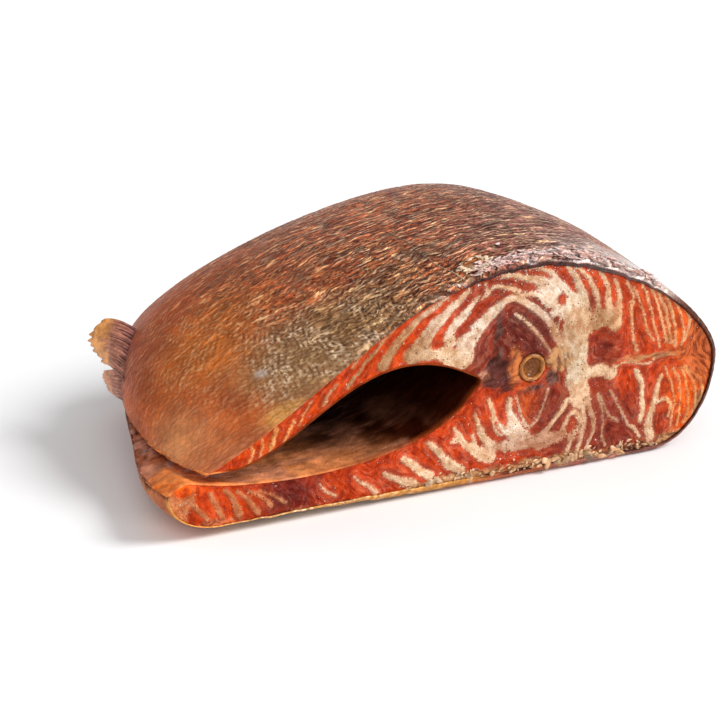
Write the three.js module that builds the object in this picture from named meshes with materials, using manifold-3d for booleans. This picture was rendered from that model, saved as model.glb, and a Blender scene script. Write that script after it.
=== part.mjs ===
// A thick piece cut across the middle of a smoked fish, gutted and lying on one flank.
// Millimetres. x runs from the belly (-) to the back (+), y from the cut that shows (-) to the
// cut towards the tail (+), and z up from the surface that the lower flank lies on.
import * as THREE from 'three';
import { mergeVertices } from 'three/addons/utils/BufferGeometryUtils.js';
import Module from 'manifold-3d';

const wasm = await Module();
wasm.setup();

// ---- Driving dimensions -------------------------------------------------------------------

const LENGTH = 120; // along the backbone, from cut to cut
const BONE = { x: -2.5, z: 40.5 }; // centre of the backbone
const BONE_RADIUS = 5.2;
const BONE_PROUD = 0.7; // the flesh has shrunk back from the bone at both cuts
const BONE_DISH = 2.6; // depth of the hollow in the end of a vertebra
const BONE_GAP = 0.3; // between bone and flesh
const EDGE_ROUND = 1.6; // the skin rolls over the edge of each cut
const FLAKE_PITCH = 15; // swells of the cut flesh round the backbone
const FLAKE_RELIEF = 0.8;
const FLARE = { at: 0.2, width: 0.17, out: 2, down: 3 }; // lower flap spreads behind the cut

// The outline of a cut is a C: skin outside, cavity inside, open at the belly slit.
// Each row is one point, [x, z], at the near cut, at half length and at the far cut.
const OUTLINE = {
  upperLip: [[-123, 22.6], [-128.5, 21], [-108, 29.2]], // upper flap, skin side
  upperLipBend: [[-80, 42], [-136, 50], [-104, 46]],
  crownBend: [[-48, 80], [-44, 84], [-34, 74]],
  crown: [[-2, 80], [4, 84], [10, 74]], // highest point of the upper flank
  shoulderBend: [[32, 80], [36, 84], [38, 74]],
  backBendUp: [[74, 50], [72, 54], [64, 48]],
  back: [[74, 33], [72, 35], [64, 32]], // ridge of the back
  backBendDown: [[74, 16], [72, 18], [64, 18]],
  soleBend: [[64, 1], [62, 0], [56, 1]],
  sole: [[48, 0], [46, -0.5], [40, 0.5]], // lower flank meets the surface
  soleRun: [[0, -0.5], [0, -1.5], [0, -0.5]],
  bellyRun: [[-70, 2], [-70, 0], [-58, 0]],
  belly: [[-116, 3], [-108, 4], [-86, 4]], // lower flank lifts off the surface
  bellyBend: [[-128, 3.5], [-124, 8], [-102, 8]],
  lowerLipBend: [[-136, 9], [-129.5, 12], [-108, 18]],
  lowerLip: [[-136, 18], [-128.5, 18.5], [-109, 27.4]], // lower flap, skin side
  lowerLipInside: [[-129, 21.2], [-121, 18.5], [-101, 27.4]],
  floorBend: [[-107, 13], [-104, 10], [-88, 10]],
  floorRise: [[-40, 11], [-46, 9], [-40, 10]],
  keelLow: [[-25, 36], [-22, 37], [-20, 35]], // end of the cavity, under the backbone
  keelHigh: [[-25, 41], [-22, 43], [-20, 41]],
  roofRise: [[-68, 67], [-30, 66], [-28, 60]],
  roofBend: [[-89.5, 18], [-118, 62], [-92, 58]],
  upperLipInside: [[-119, 22.6], [-121.5, 21], [-101, 29.2]],
};

// Steps of the mesh: round the C, through its thickness, and where the stations lie.
const ROUND_STEPS = { flank: 24, shoulder: 14, haunch: 10, sole: 22, lip: 8 };
const ROOF_STEPS = 32;
const KEEL_STEPS = 10;
const DEPTH_STEPS = 14;
const STATIONS = [0, 0.006, 0.02, 0.08, 0.14, 0.2, 0.26, 0.33, 0.42, 0.54, 0.67, 0.8, 0.92, 0.987, 1];

// Pelvic fins, low on the upper flap: one fans out behind, one is folded along the slit.
// Points are [x, y from the near cut, z]; the tips bulge out by the given length and are ragged.
const FINS = [
  {
    rays: 10,
    root: [[-113.5, 95, 41], [-126.2, 66, 30.5]],
    bend: [[-120, 96, 46.2], [-127.2, 82, 33.8]],
    tip: [[-123.2, 102, 43.6], [-127.3, 92, 30.2]],
    bulge: 10,
    ragged: 1.2,
  },
  {
    rays: 6,
    root: [[-126.3, 65, 28.4], [-126.2, 62, 25]],
    bend: [[-129.3, 76, 27], [-129.3, 73, 24.6]],
    tip: [[-128.2, 90, 26.6], [-128, 86, 22.6]],
    bulge: 1.5,
    ragged: 1.6,
  },
];
const RAY_THICK = 1.5;
const WEB_THICK = 0.8;
const FIN_TIP_SHARE = 0.6; // thickness left at the tips
const FIN_STEPS = 5;

// ---- Curves and the C-shaped outline ------------------------------------------------------

// A value that passes through the near, middle and far ones, as a parabola along the body.
const along = ([near, middle, far], v) =>
  near * (1 - v) * (1 - 2 * v) + middle * 4 * v * (1 - v) + far * v * (2 * v - 1);

const swell = (v, { at, width }) => Math.exp(-(((v - at) / width) ** 2));

// The outline's named points at share v of the length.
function outlineAt(v) {
  const at = {};
  for (const [name, places] of Object.entries(OUTLINE)) {
    const [xs, zs] = [0, 1].map((axis) => places.map((p) => p[axis]));
    at[name] = new THREE.Vector2(along(xs, v), along(zs, v));
  }
  const spread = swell(v, FLARE);
  for (const name of ['bellyBend', 'lowerLipBend', 'lowerLip', 'lowerLipInside']) {
    const inside = name === 'lowerLipInside';
    at[name].x -= FLARE.out * spread;
    at[name].y -= FLARE.down * spread * (inside ? 0.35 : 1);
  }
  return at;
}

function bezier(names, at, steps) {
  return new THREE.CubicBezierCurve(...names.map((n) => at[n])).getPoints(steps);
}

const joined = (runs) => runs.flatMap((run, i) => (i ? run.slice(1) : run));

// Skin side, from the upper lip over the flank and the back to the lower lip.
function skinLine(at) {
  const n = ROUND_STEPS;
  const line = joined([
    bezier(['upperLip', 'upperLipBend', 'crownBend', 'crown'], at, n.flank),
    bezier(['crown', 'shoulderBend', 'backBendUp', 'back'], at, n.shoulder),
    bezier(['back', 'backBendDown', 'soleBend', 'sole'], at, n.haunch),
    bezier(['sole', 'soleRun', 'bellyRun', 'belly'], at, n.sole),
    bezier(['belly', 'bellyBend', 'lowerLipBend', 'lowerLip'], at, n.lip),
  ]);
  for (const p of line) p.y = Math.max(p.y, 0); // the sole is flat where it carries the weight
  return line;
}

// Cavity side, with as many points, from the upper lip along the roof, round the keel and back.
function cavityLine(at) {
  const total = Object.values(ROUND_STEPS).reduce((sum, n) => sum + n, 0);
  const floorSteps = total - ROOF_STEPS - KEEL_STEPS;
  const bulge = new THREE.Vector2(3.5, 0);
  at.keelRoundHigh = at.keelHigh.clone().lerp(at.keelLow, 0.2).add(bulge);
  at.keelRoundLow = at.keelHigh.clone().lerp(at.keelLow, 0.8).add(bulge);
  return joined([
    bezier(['upperLipInside', 'roofBend', 'roofRise', 'keelHigh'], at, ROOF_STEPS),
    bezier(['keelHigh', 'keelRoundHigh', 'keelRoundLow', 'keelLow'], at, KEEL_STEPS),
    bezier(['keelLow', 'floorRise', 'floorBend', 'lowerLipInside'], at, floorSteps),
  ]);
}

// ---- Solids -------------------------------------------------------------------------------

// A closed skin over a block of s x t x v steps, whose corners are placed by point(i, j, k).
function blockGeometry(s, t, v, point) {
  const places = [];
  const index = [];
  const patch = (na, nb, at) => {
    const base = places.length / 3;
    for (let a = 0; a <= na; a++) for (let b = 0; b <= nb; b++) places.push(...at(a, b));
    for (let a = 0; a < na; a++)
      for (let b = 0; b < nb; b++) {
        const p = base + a * (nb + 1) + b;
        const q = p + nb + 1;
        index.push(p, q, q + 1, p, q + 1, p + 1);
      }
  };
  patch(t, s, (j, i) => point(i, j, 0));
  patch(s, t, (i, j) => point(i, j, v));
  patch(s, v, (i, k) => point(i, 0, k));
  patch(v, s, (k, i) => point(i, t, k));
  patch(v, t, (k, j) => point(0, j, k));
  patch(t, v, (j, k) => point(s, j, k));
  const geometry = new THREE.BufferGeometry();
  geometry.setAttribute('position', new THREE.Float32BufferAttribute(places, 3));
  geometry.setIndex(index);
  return geometry;
}

function solid(geometry) {
  const bare = geometry.clone();
  bare.deleteAttribute('normal');
  bare.deleteAttribute('uv');
  const merged = mergeVertices(bare, 1e-4);
  return new wasm.Manifold(
    new wasm.Mesh({
      numProp: 3,
      vertProperties: new Float32Array(merged.attributes.position.array),
      triVerts: new Uint32Array(merged.index.array),
    }),
  );
}

function geometryOf(made) {
  const mesh = made.getMesh();
  const geometry = new THREE.BufferGeometry();
  geometry.setAttribute('position', new THREE.BufferAttribute(mesh.vertProperties, 3));
  geometry.setIndex(new THREE.BufferAttribute(mesh.triVerts, 1));
  geometry.computeVertexNormals();
  return geometry;
}

// Swells of the cut flesh, in rings round the backbone that die out at skin and cavity.
function flakes(x, z, depth) {
  const r = Math.hypot(x - BONE.x, z - BONE.z);
  const fade = Math.sin(Math.PI * depth) ** 0.6;
  return FLAKE_RELIEF * fade * Math.cos((2 * Math.PI * r) / FLAKE_PITCH + x / 23);
}

// Share of EDGE_ROUND by which the skin has rolled inwards at y, near either cut.
function edgeRoll(y) {
  const inside = Math.min(y, LENGTH - y, EDGE_ROUND) / EDGE_ROUND;
  return 1 - Math.sqrt(1 - (1 - inside) ** 2);
}

function flesh() {
  const rounds = STATIONS.map((v) => {
    const at = outlineAt(v);
    return { skin: skinLine(at), cavity: cavityLine(at), y: v * LENGTH };
  });
  const last = STATIONS.length - 1;
  const point = (i, j, k) => {
    const { skin, cavity, y } = rounds[k];
    const depth = j / DEPTH_STEPS;
    const wall = skin[i].distanceTo(cavity[i]);
    const roll = (EDGE_ROUND * edgeRoll(y) * (1 - depth)) / wall;
    const at = skin[i].clone().lerp(cavity[i], depth + roll);
    const side = k === 0 ? 1 : k === last ? -1 : 0;
    return [at.x, y + side * flakes(at.x, at.y, depth), at.y];
  };
  return solid(blockGeometry(rounds[0].skin.length - 1, DEPTH_STEPS, last, point));
}

// A fan of rays and web from root to tip, two steps across for each ray.
function fin({ rays, root, bend, tip, bulge, ragged }) {
  const vectors = (pair) => pair.map((p) => new THREE.Vector3(...p));
  const between = (pair, share) => pair[0].clone().lerp(pair[1], share);
  const [roots, bends, tips] = [root, bend, tip].map(vectors);
  const across = tips[1].clone().sub(tips[0]);
  const face = across.cross(between(tips, 0.5).sub(between(roots, 0.5))).normalize();
  const steps = rays * 2;
  const point = (i, j, k) => {
    const a = i / steps;
    const b = k / FIN_STEPS;
    const knee = between(bends, a);
    const end = between(tips, a);
    const reach = bulge * Math.sin(Math.PI * a) + ragged * Math.sin(i * 2.4);
    end.addScaledVector(end.clone().sub(knee).normalize(), reach);
    const path = new THREE.QuadraticBezierCurve3(between(roots, a), knee, end);
    const thick = (i % 2 ? RAY_THICK : WEB_THICK) * (1 - (1 - FIN_TIP_SHARE) * b);
    return path.getPoint(b).addScaledVector(face, (j - 0.5) * thick).toArray();
  };
  return solid(blockGeometry(steps, 1, FIN_STEPS, point));
}

// A rod with a dished end at each cut, along y, made at the origin.
function backboneGeometry() {
  const half = LENGTH / 2 + BONE_PROUD;
  const end = [
    [0, half - BONE_DISH],
    [BONE_RADIUS * 0.45, half - BONE_DISH * 0.7],
    [BONE_RADIUS * 0.8, half - 0.5],
    [BONE_RADIUS * 0.93, half],
    [BONE_RADIUS, half - 0.6],
  ];
  const profile = [...end.map(([r, y]) => [r, -y]), ...end.reverse()];
  const points = profile.map(([r, y]) => new THREE.Vector2(r, y));
  return new THREE.LatheGeometry(points, 24);
}

function boreAround() {
  const radius = (BONE_RADIUS + BONE_GAP) / Math.cos(Math.PI / 24);
  const bore = new THREE.CylinderGeometry(radius, radius, LENGTH * 1.2, 24);
  bore.translate(BONE.x, LENGTH / 2, BONE.z);
  return solid(bore);
}

// ---- The object ---------------------------------------------------------------------------

const skinMaterial = new THREE.MeshStandardMaterial({
  color: 0x9a5a2c,
  roughness: 0.38,
  metalness: 0.15,
});
const boneMaterial = new THREE.MeshStandardMaterial({ color: 0xc9935a, roughness: 0.45 });

const fish = new THREE.Group();

let body = flesh();
for (const shape of FINS) body = body.add(fin(shape));
body = body.subtract(boreAround());
const piece = new THREE.Mesh(geometryOf(body), skinMaterial);
piece.name = 'fish_piece';
fish.add(piece);

const backbone = new THREE.Mesh(backboneGeometry(), boneMaterial);
backbone.name = 'backbone';
backbone.position.set(BONE.x, LENGTH / 2, BONE.z);
fish.add(backbone);

// The origin is under the middle of the piece's box, on the surface.
const box = new THREE.Box3().setFromObject(fish, true);
const middle = box.getCenter(new THREE.Vector3());
fish.position.set(-middle.x, -middle.y, -box.min.z);

export default fish;
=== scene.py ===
import math

import bpy
import numpy as np
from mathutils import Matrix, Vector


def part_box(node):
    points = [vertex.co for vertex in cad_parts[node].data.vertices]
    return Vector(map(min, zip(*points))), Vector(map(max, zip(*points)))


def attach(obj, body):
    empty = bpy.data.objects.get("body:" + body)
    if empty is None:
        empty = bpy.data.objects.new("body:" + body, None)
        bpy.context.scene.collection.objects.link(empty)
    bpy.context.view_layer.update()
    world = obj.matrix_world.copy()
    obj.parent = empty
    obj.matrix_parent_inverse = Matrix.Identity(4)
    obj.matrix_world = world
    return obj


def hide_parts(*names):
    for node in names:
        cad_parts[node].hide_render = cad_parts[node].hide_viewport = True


bl_info = {
    "name": "Smoked Fish Piece",
    "version": (1, 0, 0),
    "blender": (4, 5, 0),
    "location": "3D View > Sidebar > Smoked Fish",
    "description": "Dresses the solid of a smoked fish piece in skin, marbled flesh, lining, bone and fins",
    "category": "Add Mesh",
}

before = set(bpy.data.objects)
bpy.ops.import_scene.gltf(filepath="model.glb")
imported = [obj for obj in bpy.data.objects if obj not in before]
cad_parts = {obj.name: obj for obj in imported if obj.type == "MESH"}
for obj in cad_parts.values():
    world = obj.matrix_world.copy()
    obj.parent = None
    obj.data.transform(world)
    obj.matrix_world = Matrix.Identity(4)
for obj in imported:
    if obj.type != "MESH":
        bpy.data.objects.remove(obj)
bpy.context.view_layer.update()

# Working places are in mm: x from belly to back, y from the near cut to the far one, z up.
# The row frame is the same, moved so that the backbone comes where the solid has it.
BONE = (-2.5, 40.5)
LENGTH = 120.0
BONE_LOW, BONE_HIGH = (np.array(corner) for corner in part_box("backbone"))
SHIFT = (BONE_LOW + BONE_HIGH) / 2 - np.array([BONE[0], LENGTH / 2, BONE[1]]) / 1000
# Rounding of the cut edges, flare of the lower lip along the body, and flakes of muscle on a cut.
EDGE_ROUND = 1.2
FLARE = {
    "at": 0.2, "width": 0.17, "out": 2.0, "down": 3.0,
    "points": {"belly_bend": 1, "lower_lip_bend": 1, "lower_lip": 1, "lower_lip_inside": 0.35},
}
FLAKE_PITCH, FLAKE_RELIEF = 15.0, 0.8

# ---- Sizes and colours ---------------------------------------------------------------------


def length(label, text, value):
    return bpy.props.FloatProperty(
        name=label, description=text, default=value, min=0.0, unit="LENGTH", subtype="DISTANCE", precision=5
    )


def colour(label, text, red, green, blue):
    return bpy.props.FloatVectorProperty(
        name=label, description=text, default=(red / 255, green / 255, blue / 255), size=3, min=0.0, max=1.0,
        subtype="COLOR_GAMMA",
    )


class FishSizes(bpy.types.PropertyGroup):
    skin: length("Skin", "Thickness of the skin over the flanks", 0.0008)
    back_skin: length("Back skin", "What the skin gains in thickness along the back", 0.0010)
    scale_pitch: length("Scale pitch", "Scale to scale, round the body and along it", 0.0026)
    scale_relief: length("Scale relief", "How far a scale's free edge stands up", 0.00016)
    groove: length("Groove depth", "Depth of the shrunken grooves over the back", 0.00030)
    skin_step: length("Skin step", "Mesh step over the flank and the back", 0.00072)
    cut_step: length("Cut step", "Mesh step over the near cut", 0.00046)
    far_cut_step: length("Far cut step", "Mesh step over the far cut", 0.00075)
    seam_relief: length("Seam relief", "How far the seams of fat stand above the shrunken muscle", 0.00028)
    lining: length("Lining", "Thickness of the dark lining of the cavity", 0.0007)
    lining_step: length("Lining step", "Mesh step over the lining", 0.0011)
    curd: length("Curd", "Radius of a curd of set juice", 0.0008)
    lifted_scale: length("Lifted scale", "Length of a scale that peels off along the cut", 0.0030)
    thread: length("Thread", "Radius of the loose thread of skin", 0.00016)
    fin_ray: length("Fin ray", "Radius of a fin ray at its root", 0.00050)


class FishColours(bpy.types.PropertyGroup):
    copper: colour("Copper", "Smoked skin of the belly side", 176, 86, 46)
    russet: colour("Russet", "Warmest patches of the flank", 194, 84, 30)
    gold: colour("Gold", "Flank where the scales glint", 206, 116, 46)
    olive: colour("Olive", "Flank close to the near cut", 146, 114, 76)
    mocha: colour("Mocha", "Upper flank", 196, 102, 60)
    plum: colour("Plum", "Shoulder of the back", 164, 118, 116)
    ridge: colour("Ridge", "Ridge of the back", 84, 58, 52)
    straw: colour("Straw", "Skin by the slit and by the lower edge of the cut", 236, 172, 88)
    tan: colour("Tan", "Bulge of the belly behind the slit", 250, 176, 118)
    rim: colour("Rim", "Cut edge of the skin", 52, 26, 22)
    # Painted highlight: the colour of a glint on a scale.
    glint: colour("Glint", "Bright streak on a scale", 246, 212, 176)
    # Painted highlight: the gold of a spark on a fibre.
    spark: colour("Spark", "Gold where a fibre of the skin catches light", 255, 206, 146)
    # Painted shade: the colour at the bottom of the grooves, where they darken.
    groove: colour("Groove", "Bottom of the grooves of the back", 58, 30, 24)
    bruise: colour("Bruise", "Small dark red marks", 140, 44, 34)
    amber: colour("Amber", "Bare patch where the skin is torn", 196, 112, 44)
    scar: colour("Scar", "Small pale mark on the flank", 196, 190, 190)
    flake: colour("Flake", "Peeled skin along the cut", 234, 196, 188)


# ---- Curves --------------------------------------------------------------------------------

# The outline of a cut is a C: skin outside, cavity inside, open at the belly slit.
# Each row is one point, [x, z], at the near cut, at half length and at the far cut.
OUTLINE = {
    "upper_lip": ((-123, 22.6), (-128.5, 21), (-108, 29.2)),
    "upper_lip_bend": ((-80, 42), (-136, 50), (-104, 46)),
    "crown_bend": ((-48, 80), (-44, 84), (-34, 74)),
    "crown": ((-2, 80), (4, 84), (10, 74)),
    "shoulder_bend": ((32, 80), (36, 84), (38, 74)),
    "back_bend_up": ((74, 50), (72, 54), (64, 48)),
    "back": ((74, 33), (72, 35), (64, 32)),
    "back_bend_down": ((74, 16), (72, 18), (64, 18)),
    "sole_bend": ((64, 1), (62, 0), (56, 1)),
    "sole": ((48, 0), (46, -0.5), (40, 0.5)),
    "sole_run": ((0, -0.5), (0, -1.5), (0, -0.5)),
    "belly_run": ((-70, 2), (-70, 0), (-58, 0)),
    "belly": ((-116, 3), (-108, 4), (-86, 4)),
    "belly_bend": ((-128, 3.5), (-124, 8), (-102, 8)),
    "lower_lip_bend": ((-136, 9), (-129.5, 12), (-108, 18)),
    "lower_lip": ((-136, 18), (-128.5, 18.5), (-109, 27.4)),
    "lower_lip_inside": ((-129, 21.2), (-121, 18.5), (-101, 27.4)),
    "floor_bend": ((-107, 13), (-104, 10), (-88, 10)),
    "floor_rise": ((-40, 11), (-46, 9), (-40, 10)),
    "keel_low": ((-25, 36), (-22, 37), (-20, 35)),
    "keel_high": ((-25, 41), (-22, 43), (-20, 41)),
    "roof_rise": ((-68, 67), (-30, 66), (-28, 60)),
    "roof_bend": ((-89.5, 18), (-118, 62), (-92, 58)),
    "upper_lip_inside": ((-119, 22.6), (-121.5, 21), (-101, 29.2)),
}
SKIN_RUNS = (
    ("upper_lip upper_lip_bend crown_bend crown", 150),
    ("crown shoulder_bend back_bend_up back", 90),
    ("back back_bend_down sole_bend sole", 60),
    ("sole sole_run belly_run belly", 120),
    ("belly belly_bend lower_lip_bend lower_lip", 50),
)
CAVITY_RUNS = (
    ("upper_lip_inside roof_bend roof_rise keel_high", 130),
    ("keel_high keel_round_high keel_round_low keel_low", 20),
    ("keel_low floor_rise floor_bend lower_lip_inside", 130),
)


def outline_at(v):
    """The outline's named points at share v of the length."""
    weights = np.array([(1 - v) * (1 - 2 * v), 4 * v * (1 - v), v * (2 * v - 1)])
    at = {name: weights @ np.array(places, float) for name, places in OUTLINE.items()}
    spread = math.exp(-(((v - FLARE["at"]) / FLARE["width"]) ** 2))
    for name, share in FLARE["points"].items():
        at[name] = at[name] - spread * np.array([FLARE["out"], FLARE["down"] * share])
    bulge = np.array([3.5, 0])
    at["keel_round_high"] = 0.8 * at["keel_high"] + 0.2 * at["keel_low"] + bulge
    at["keel_round_low"] = 0.2 * at["keel_high"] + 0.8 * at["keel_low"] + bulge
    return at


def line_of(runs, v):
    at = outline_at(min(max(v, 0.0), 1.0))
    parts = []
    for names, steps in runs:
        a, b, c, d = (at[name] for name in names.split())
        t = np.linspace(0, 1, steps + 1)[:, None]
        part = a * (1 - t) ** 3 + 3 * b * t * (1 - t) ** 2 + 3 * c * t * t * (1 - t) + d * t**3
        parts.append(part[1:] if parts else part)
    return np.concatenate(parts)


def skin_line(v):
    line = line_of(SKIN_RUNS, v)
    line[:, 1] = np.maximum(line[:, 1], 0)
    return line


def cavity_line(v):
    return line_of(CAVITY_RUNS, v)


def lining_line(v):
    """The cavity's line, carried on over both lips as far as the skin, with rounded corners."""
    at, line = outline_at(min(max(v, 0.0), 1.0)), cavity_line(v)
    over = lambda a, b: a + (b - a) * np.linspace(0, 1, 11)[:-1, None]
    line = np.concatenate([over(at["upper_lip"], line[0]), line, over(at["lower_lip"], line[-1])[::-1]])
    for _ in range(6):
        line[1:-1] = 0.5 * line[1:-1] + 0.25 * (line[:-2] + line[2:])
    return line


def run_length(line):
    return np.concatenate([[0], np.cumsum(np.hypot(*np.diff(line, axis=0).T))])


def side_of(line):
    """Unit normals of a line, to the left of its travel."""
    step = np.gradient(line, axis=0)
    step /= np.maximum(np.hypot(step[:, 0], step[:, 1]), 1e-9)[:, None]
    return np.stack([-step[:, 1], step[:, 0]], axis=1)


def pick(line, index):
    """Points of a line at fractional places in its list."""
    low = np.clip(np.floor(index).astype(int), 0, len(line) - 2)
    share = (index - low)[:, None]
    return line[low] * (1 - share) + line[low + 1] * share


def catmull(points, steps):
    """A smooth line through the points."""
    p = np.asarray(points, float)
    if len(p) == 2:
        t = np.linspace(0, 1, steps)[:, None]
        return p[0] * (1 - t) + p[1] * t
    q = np.concatenate([[2 * p[0] - p[1]], p, [2 * p[-1] - p[-2]]])
    t = np.linspace(0, len(p) - 1 - 1e-9, steps)
    i = t.astype(int)
    f = (t - i)[:, None]
    a, b, c, d = q[i], q[i + 1], q[i + 2], q[i + 3]
    return 0.5 * (2 * b + (c - a) * f + (2 * a - 5 * b + 4 * c - d) * f**2 + (3 * b - a - 3 * c + d) * f**3)


def between(value, low, high):
    """0 at low, 1 at high, eased."""
    t = np.clip((np.asarray(value, float) - low) / (high - low), 0, 1)
    return t * t * (3 - 2 * t)


def fade(value, low, high):
    """1 at low, 0 at high, eased."""
    return 1 - between(value, low, high)


# ---- Noise ---------------------------------------------------------------------------------


def hashed(i, j, seed):
    n = (i.astype(np.int64) * 374761393 + j.astype(np.int64) * 668265263 + seed * 2147483647) & 0xFFFFFFFF
    n = ((n ^ (n >> 13)) * 1274126177) & 0xFFFFFFFF
    n = ((n ^ (n >> 16)) * 2246822519) & 0xFFFFFFFF
    return ((n ^ (n >> 15)) & 0xFFFFFF) / 0xFFFFFF


def noise(x, y, size, seed):
    """Smooth noise from -1 to 1 with lumps of about that size."""
    x, y = np.asarray(x, float) / size + 1000.0, np.asarray(y, float) / size + 1000.0
    i, j = np.floor(x).astype(int), np.floor(y).astype(int)
    u, v = x - i, y - j
    u, v = (w * w * w * (w * (w * 6 - 15) + 10) for w in (u, v))
    a, b = hashed(i, j, seed), hashed(i + 1, j, seed)
    c, d = hashed(i, j + 1, seed), hashed(i + 1, j + 1, seed)
    return 2 * ((a * (1 - u) + b * u) * (1 - v) + (c * (1 - u) + d * u) * v) - 1


def fractal(x, y, size, octaves, seed):
    total, weight, share = 0, 0, 1.0
    for k in range(octaves):
        total = total + share * noise(x, y, size / 2**k, seed + 17 * k)
        weight += share
        share *= 0.5
    return total / weight


def creases(x, y, size_x, size_y, seed):
    """0 to 1, with thin winding lines at 1 that run along x where size_x is the larger."""
    x, y = np.asarray(x, float) / size_x, np.asarray(y, float) / size_y
    n = noise(x, y, 1.0, seed) + 0.35 * noise(x, y, 0.47, seed + 5)
    return np.clip(1 - 3.2 * np.abs(n), 0, 1)


# ---- Meshes --------------------------------------------------------------------------------


def linear(rgb):
    """Linear light from 0 to 255 values."""
    c = np.asarray(rgb, float) / 255
    return np.where(c <= 0.04045, c / 12.92, ((c + 0.055) / 1.055) ** 2.4)


def own_rgb(colours, name):
    """One of the user's colours, as 0 to 255 values."""
    return [c * 255 for c in getattr(colours, name)]


def bare_mesh(name, places, edges, faces, layers):
    """A mesh from places in mm, with values, colours or directions for its points."""
    mesh = bpy.data.meshes.new(name)
    mesh.from_pydata((np.asarray(places) / 1000 + SHIFT).tolist(), edges, faces)
    for label, values in layers.items():
        values = np.asarray(values, float)
        kind, field = "FLOAT", "value"
        if label in ("out", "along"):
            kind, field = "FLOAT_VECTOR", "vector"
        elif values.ndim == 2:
            kind, field = "FLOAT_COLOR", "color"
            values = np.concatenate([values, np.ones((len(values), 1))], axis=1)
        mesh.attributes.new(label, kind, "POINT").data.foreach_set(field, values.ravel())
    return mesh


def mesh_of(name, places, faces, layers, spot=None):
    """The mesh of a piece, with a map of mm along the skin where spot gives one."""
    mesh = bare_mesh(name, places, [], faces, layers)
    if spot is not None:
        corner = np.zeros(len(mesh.loops), dtype=np.int32)
        mesh.loops.foreach_get("vertex_index", corner)
        uv = np.asarray(spot, float)[corner]
        mesh.uv_layers.new(name="along_skin").data.foreach_set("uv", uv.ravel())
    smooth_over(mesh)
    mesh.validate()
    mesh.update()
    return mesh


def smooth_over(mesh):
    mesh.polygons.foreach_set("use_smooth", np.ones(len(mesh.polygons), dtype=bool))


def show(name, mesh, material, replaces=None):
    """Adds the finished mesh as a piece on the fish."""
    mesh.materials.clear()
    mesh.materials.append(material)
    piece = bpy.data.objects.new(name, mesh)
    bpy.context.scene.collection.objects.link(piece)
    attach(piece, "root")
    if replaces:
        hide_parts(replaces)


def towards(tone, share, rgb):
    """What takes the tone that share of the way to another one."""
    return share[..., None] * (linear(rgb) - tone)


def zip_lines(one, two, at_one, at_two):
    """Triangles between two lines of point numbers, matched by their places along the way."""
    faces = []
    i = j = 0
    while i < len(one) - 1 or j < len(two) - 1:
        step_one = j == len(two) - 1 or (i < len(one) - 1 and at_one[i + 1] <= at_two[j + 1])
        if step_one:
            faces.append((one[i], one[i + 1], two[j]))
            i += 1
        else:
            faces.append((one[i], two[j + 1], two[j]))
            j += 1
    return faces


def hoop_faces(columns, ring):
    """Quads over columns of closed rings, numbered column by column."""
    i, k = np.meshgrid(np.arange(columns - 1), np.arange(ring), indexing="ij")
    a = i * ring + k
    b = i * ring + (k + 1) % ring
    return np.stack([a, a + ring, b + ring, b], axis=-1).reshape(-1, 4).tolist()


def by_column(values):
    """Values by row and column, listed column by column."""
    return values.swapaxes(0, 1).reshape((-1,) + values.shape[2:])


def rows_of(rim, ys, share, hidden, hidden_share):
    """The rows of a shell, [y, share], and how many of them are on its seen side.

    The rim is that of the near cut, and comes back, turned round, at the far cut.
    """
    seen = rim + [(y, share) for y in ys] + [(LENGTH - y, part) for y, part in rim[::-1]]
    return np.array(seen + [(y, hidden_share) for y in hidden]), len(seen)


def shell(line_at, columns, ys, outer, rise, out):
    """Places and faces of a closed shell along the body.

    The first outer rows are the seen side, the rest come back along the hidden side.
    rise: by row and column, how far each point stands off the section's line.
    out: 1 where the seen side is to the left of the line's travel, -1 where it is to the right.
    """
    flat = []
    for y, off in zip(ys.tolist(), rise):
        line = line_at(y / LENGTH)
        flat.append(pick(line, columns) + out * pick(side_of(line), columns) * off[:, None])
    flat = np.array(flat)
    y_of = np.broadcast_to(ys[:, None], rise.shape)
    places = by_column(np.stack([flat[..., 0], y_of, flat[..., 1]], axis=-1))
    rows, count = rise.shape
    faces = hoop_faces(count, rows)
    seen, hidden = np.arange(outer), np.arange(rows - 1, outer - 1, -1)
    first = zip_lines(seen.tolist(), hidden.tolist(), ys[seen], ys[hidden])
    shift = (count - 1) * rows
    faces += first + [(c + shift, b + shift, a + shift) for a, b, c in first]
    if out < 0:
        faces = [f[::-1] for f in faces]
    return places, faces


# ---- Shading helpers -----------------------------------------------------------------------


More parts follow.
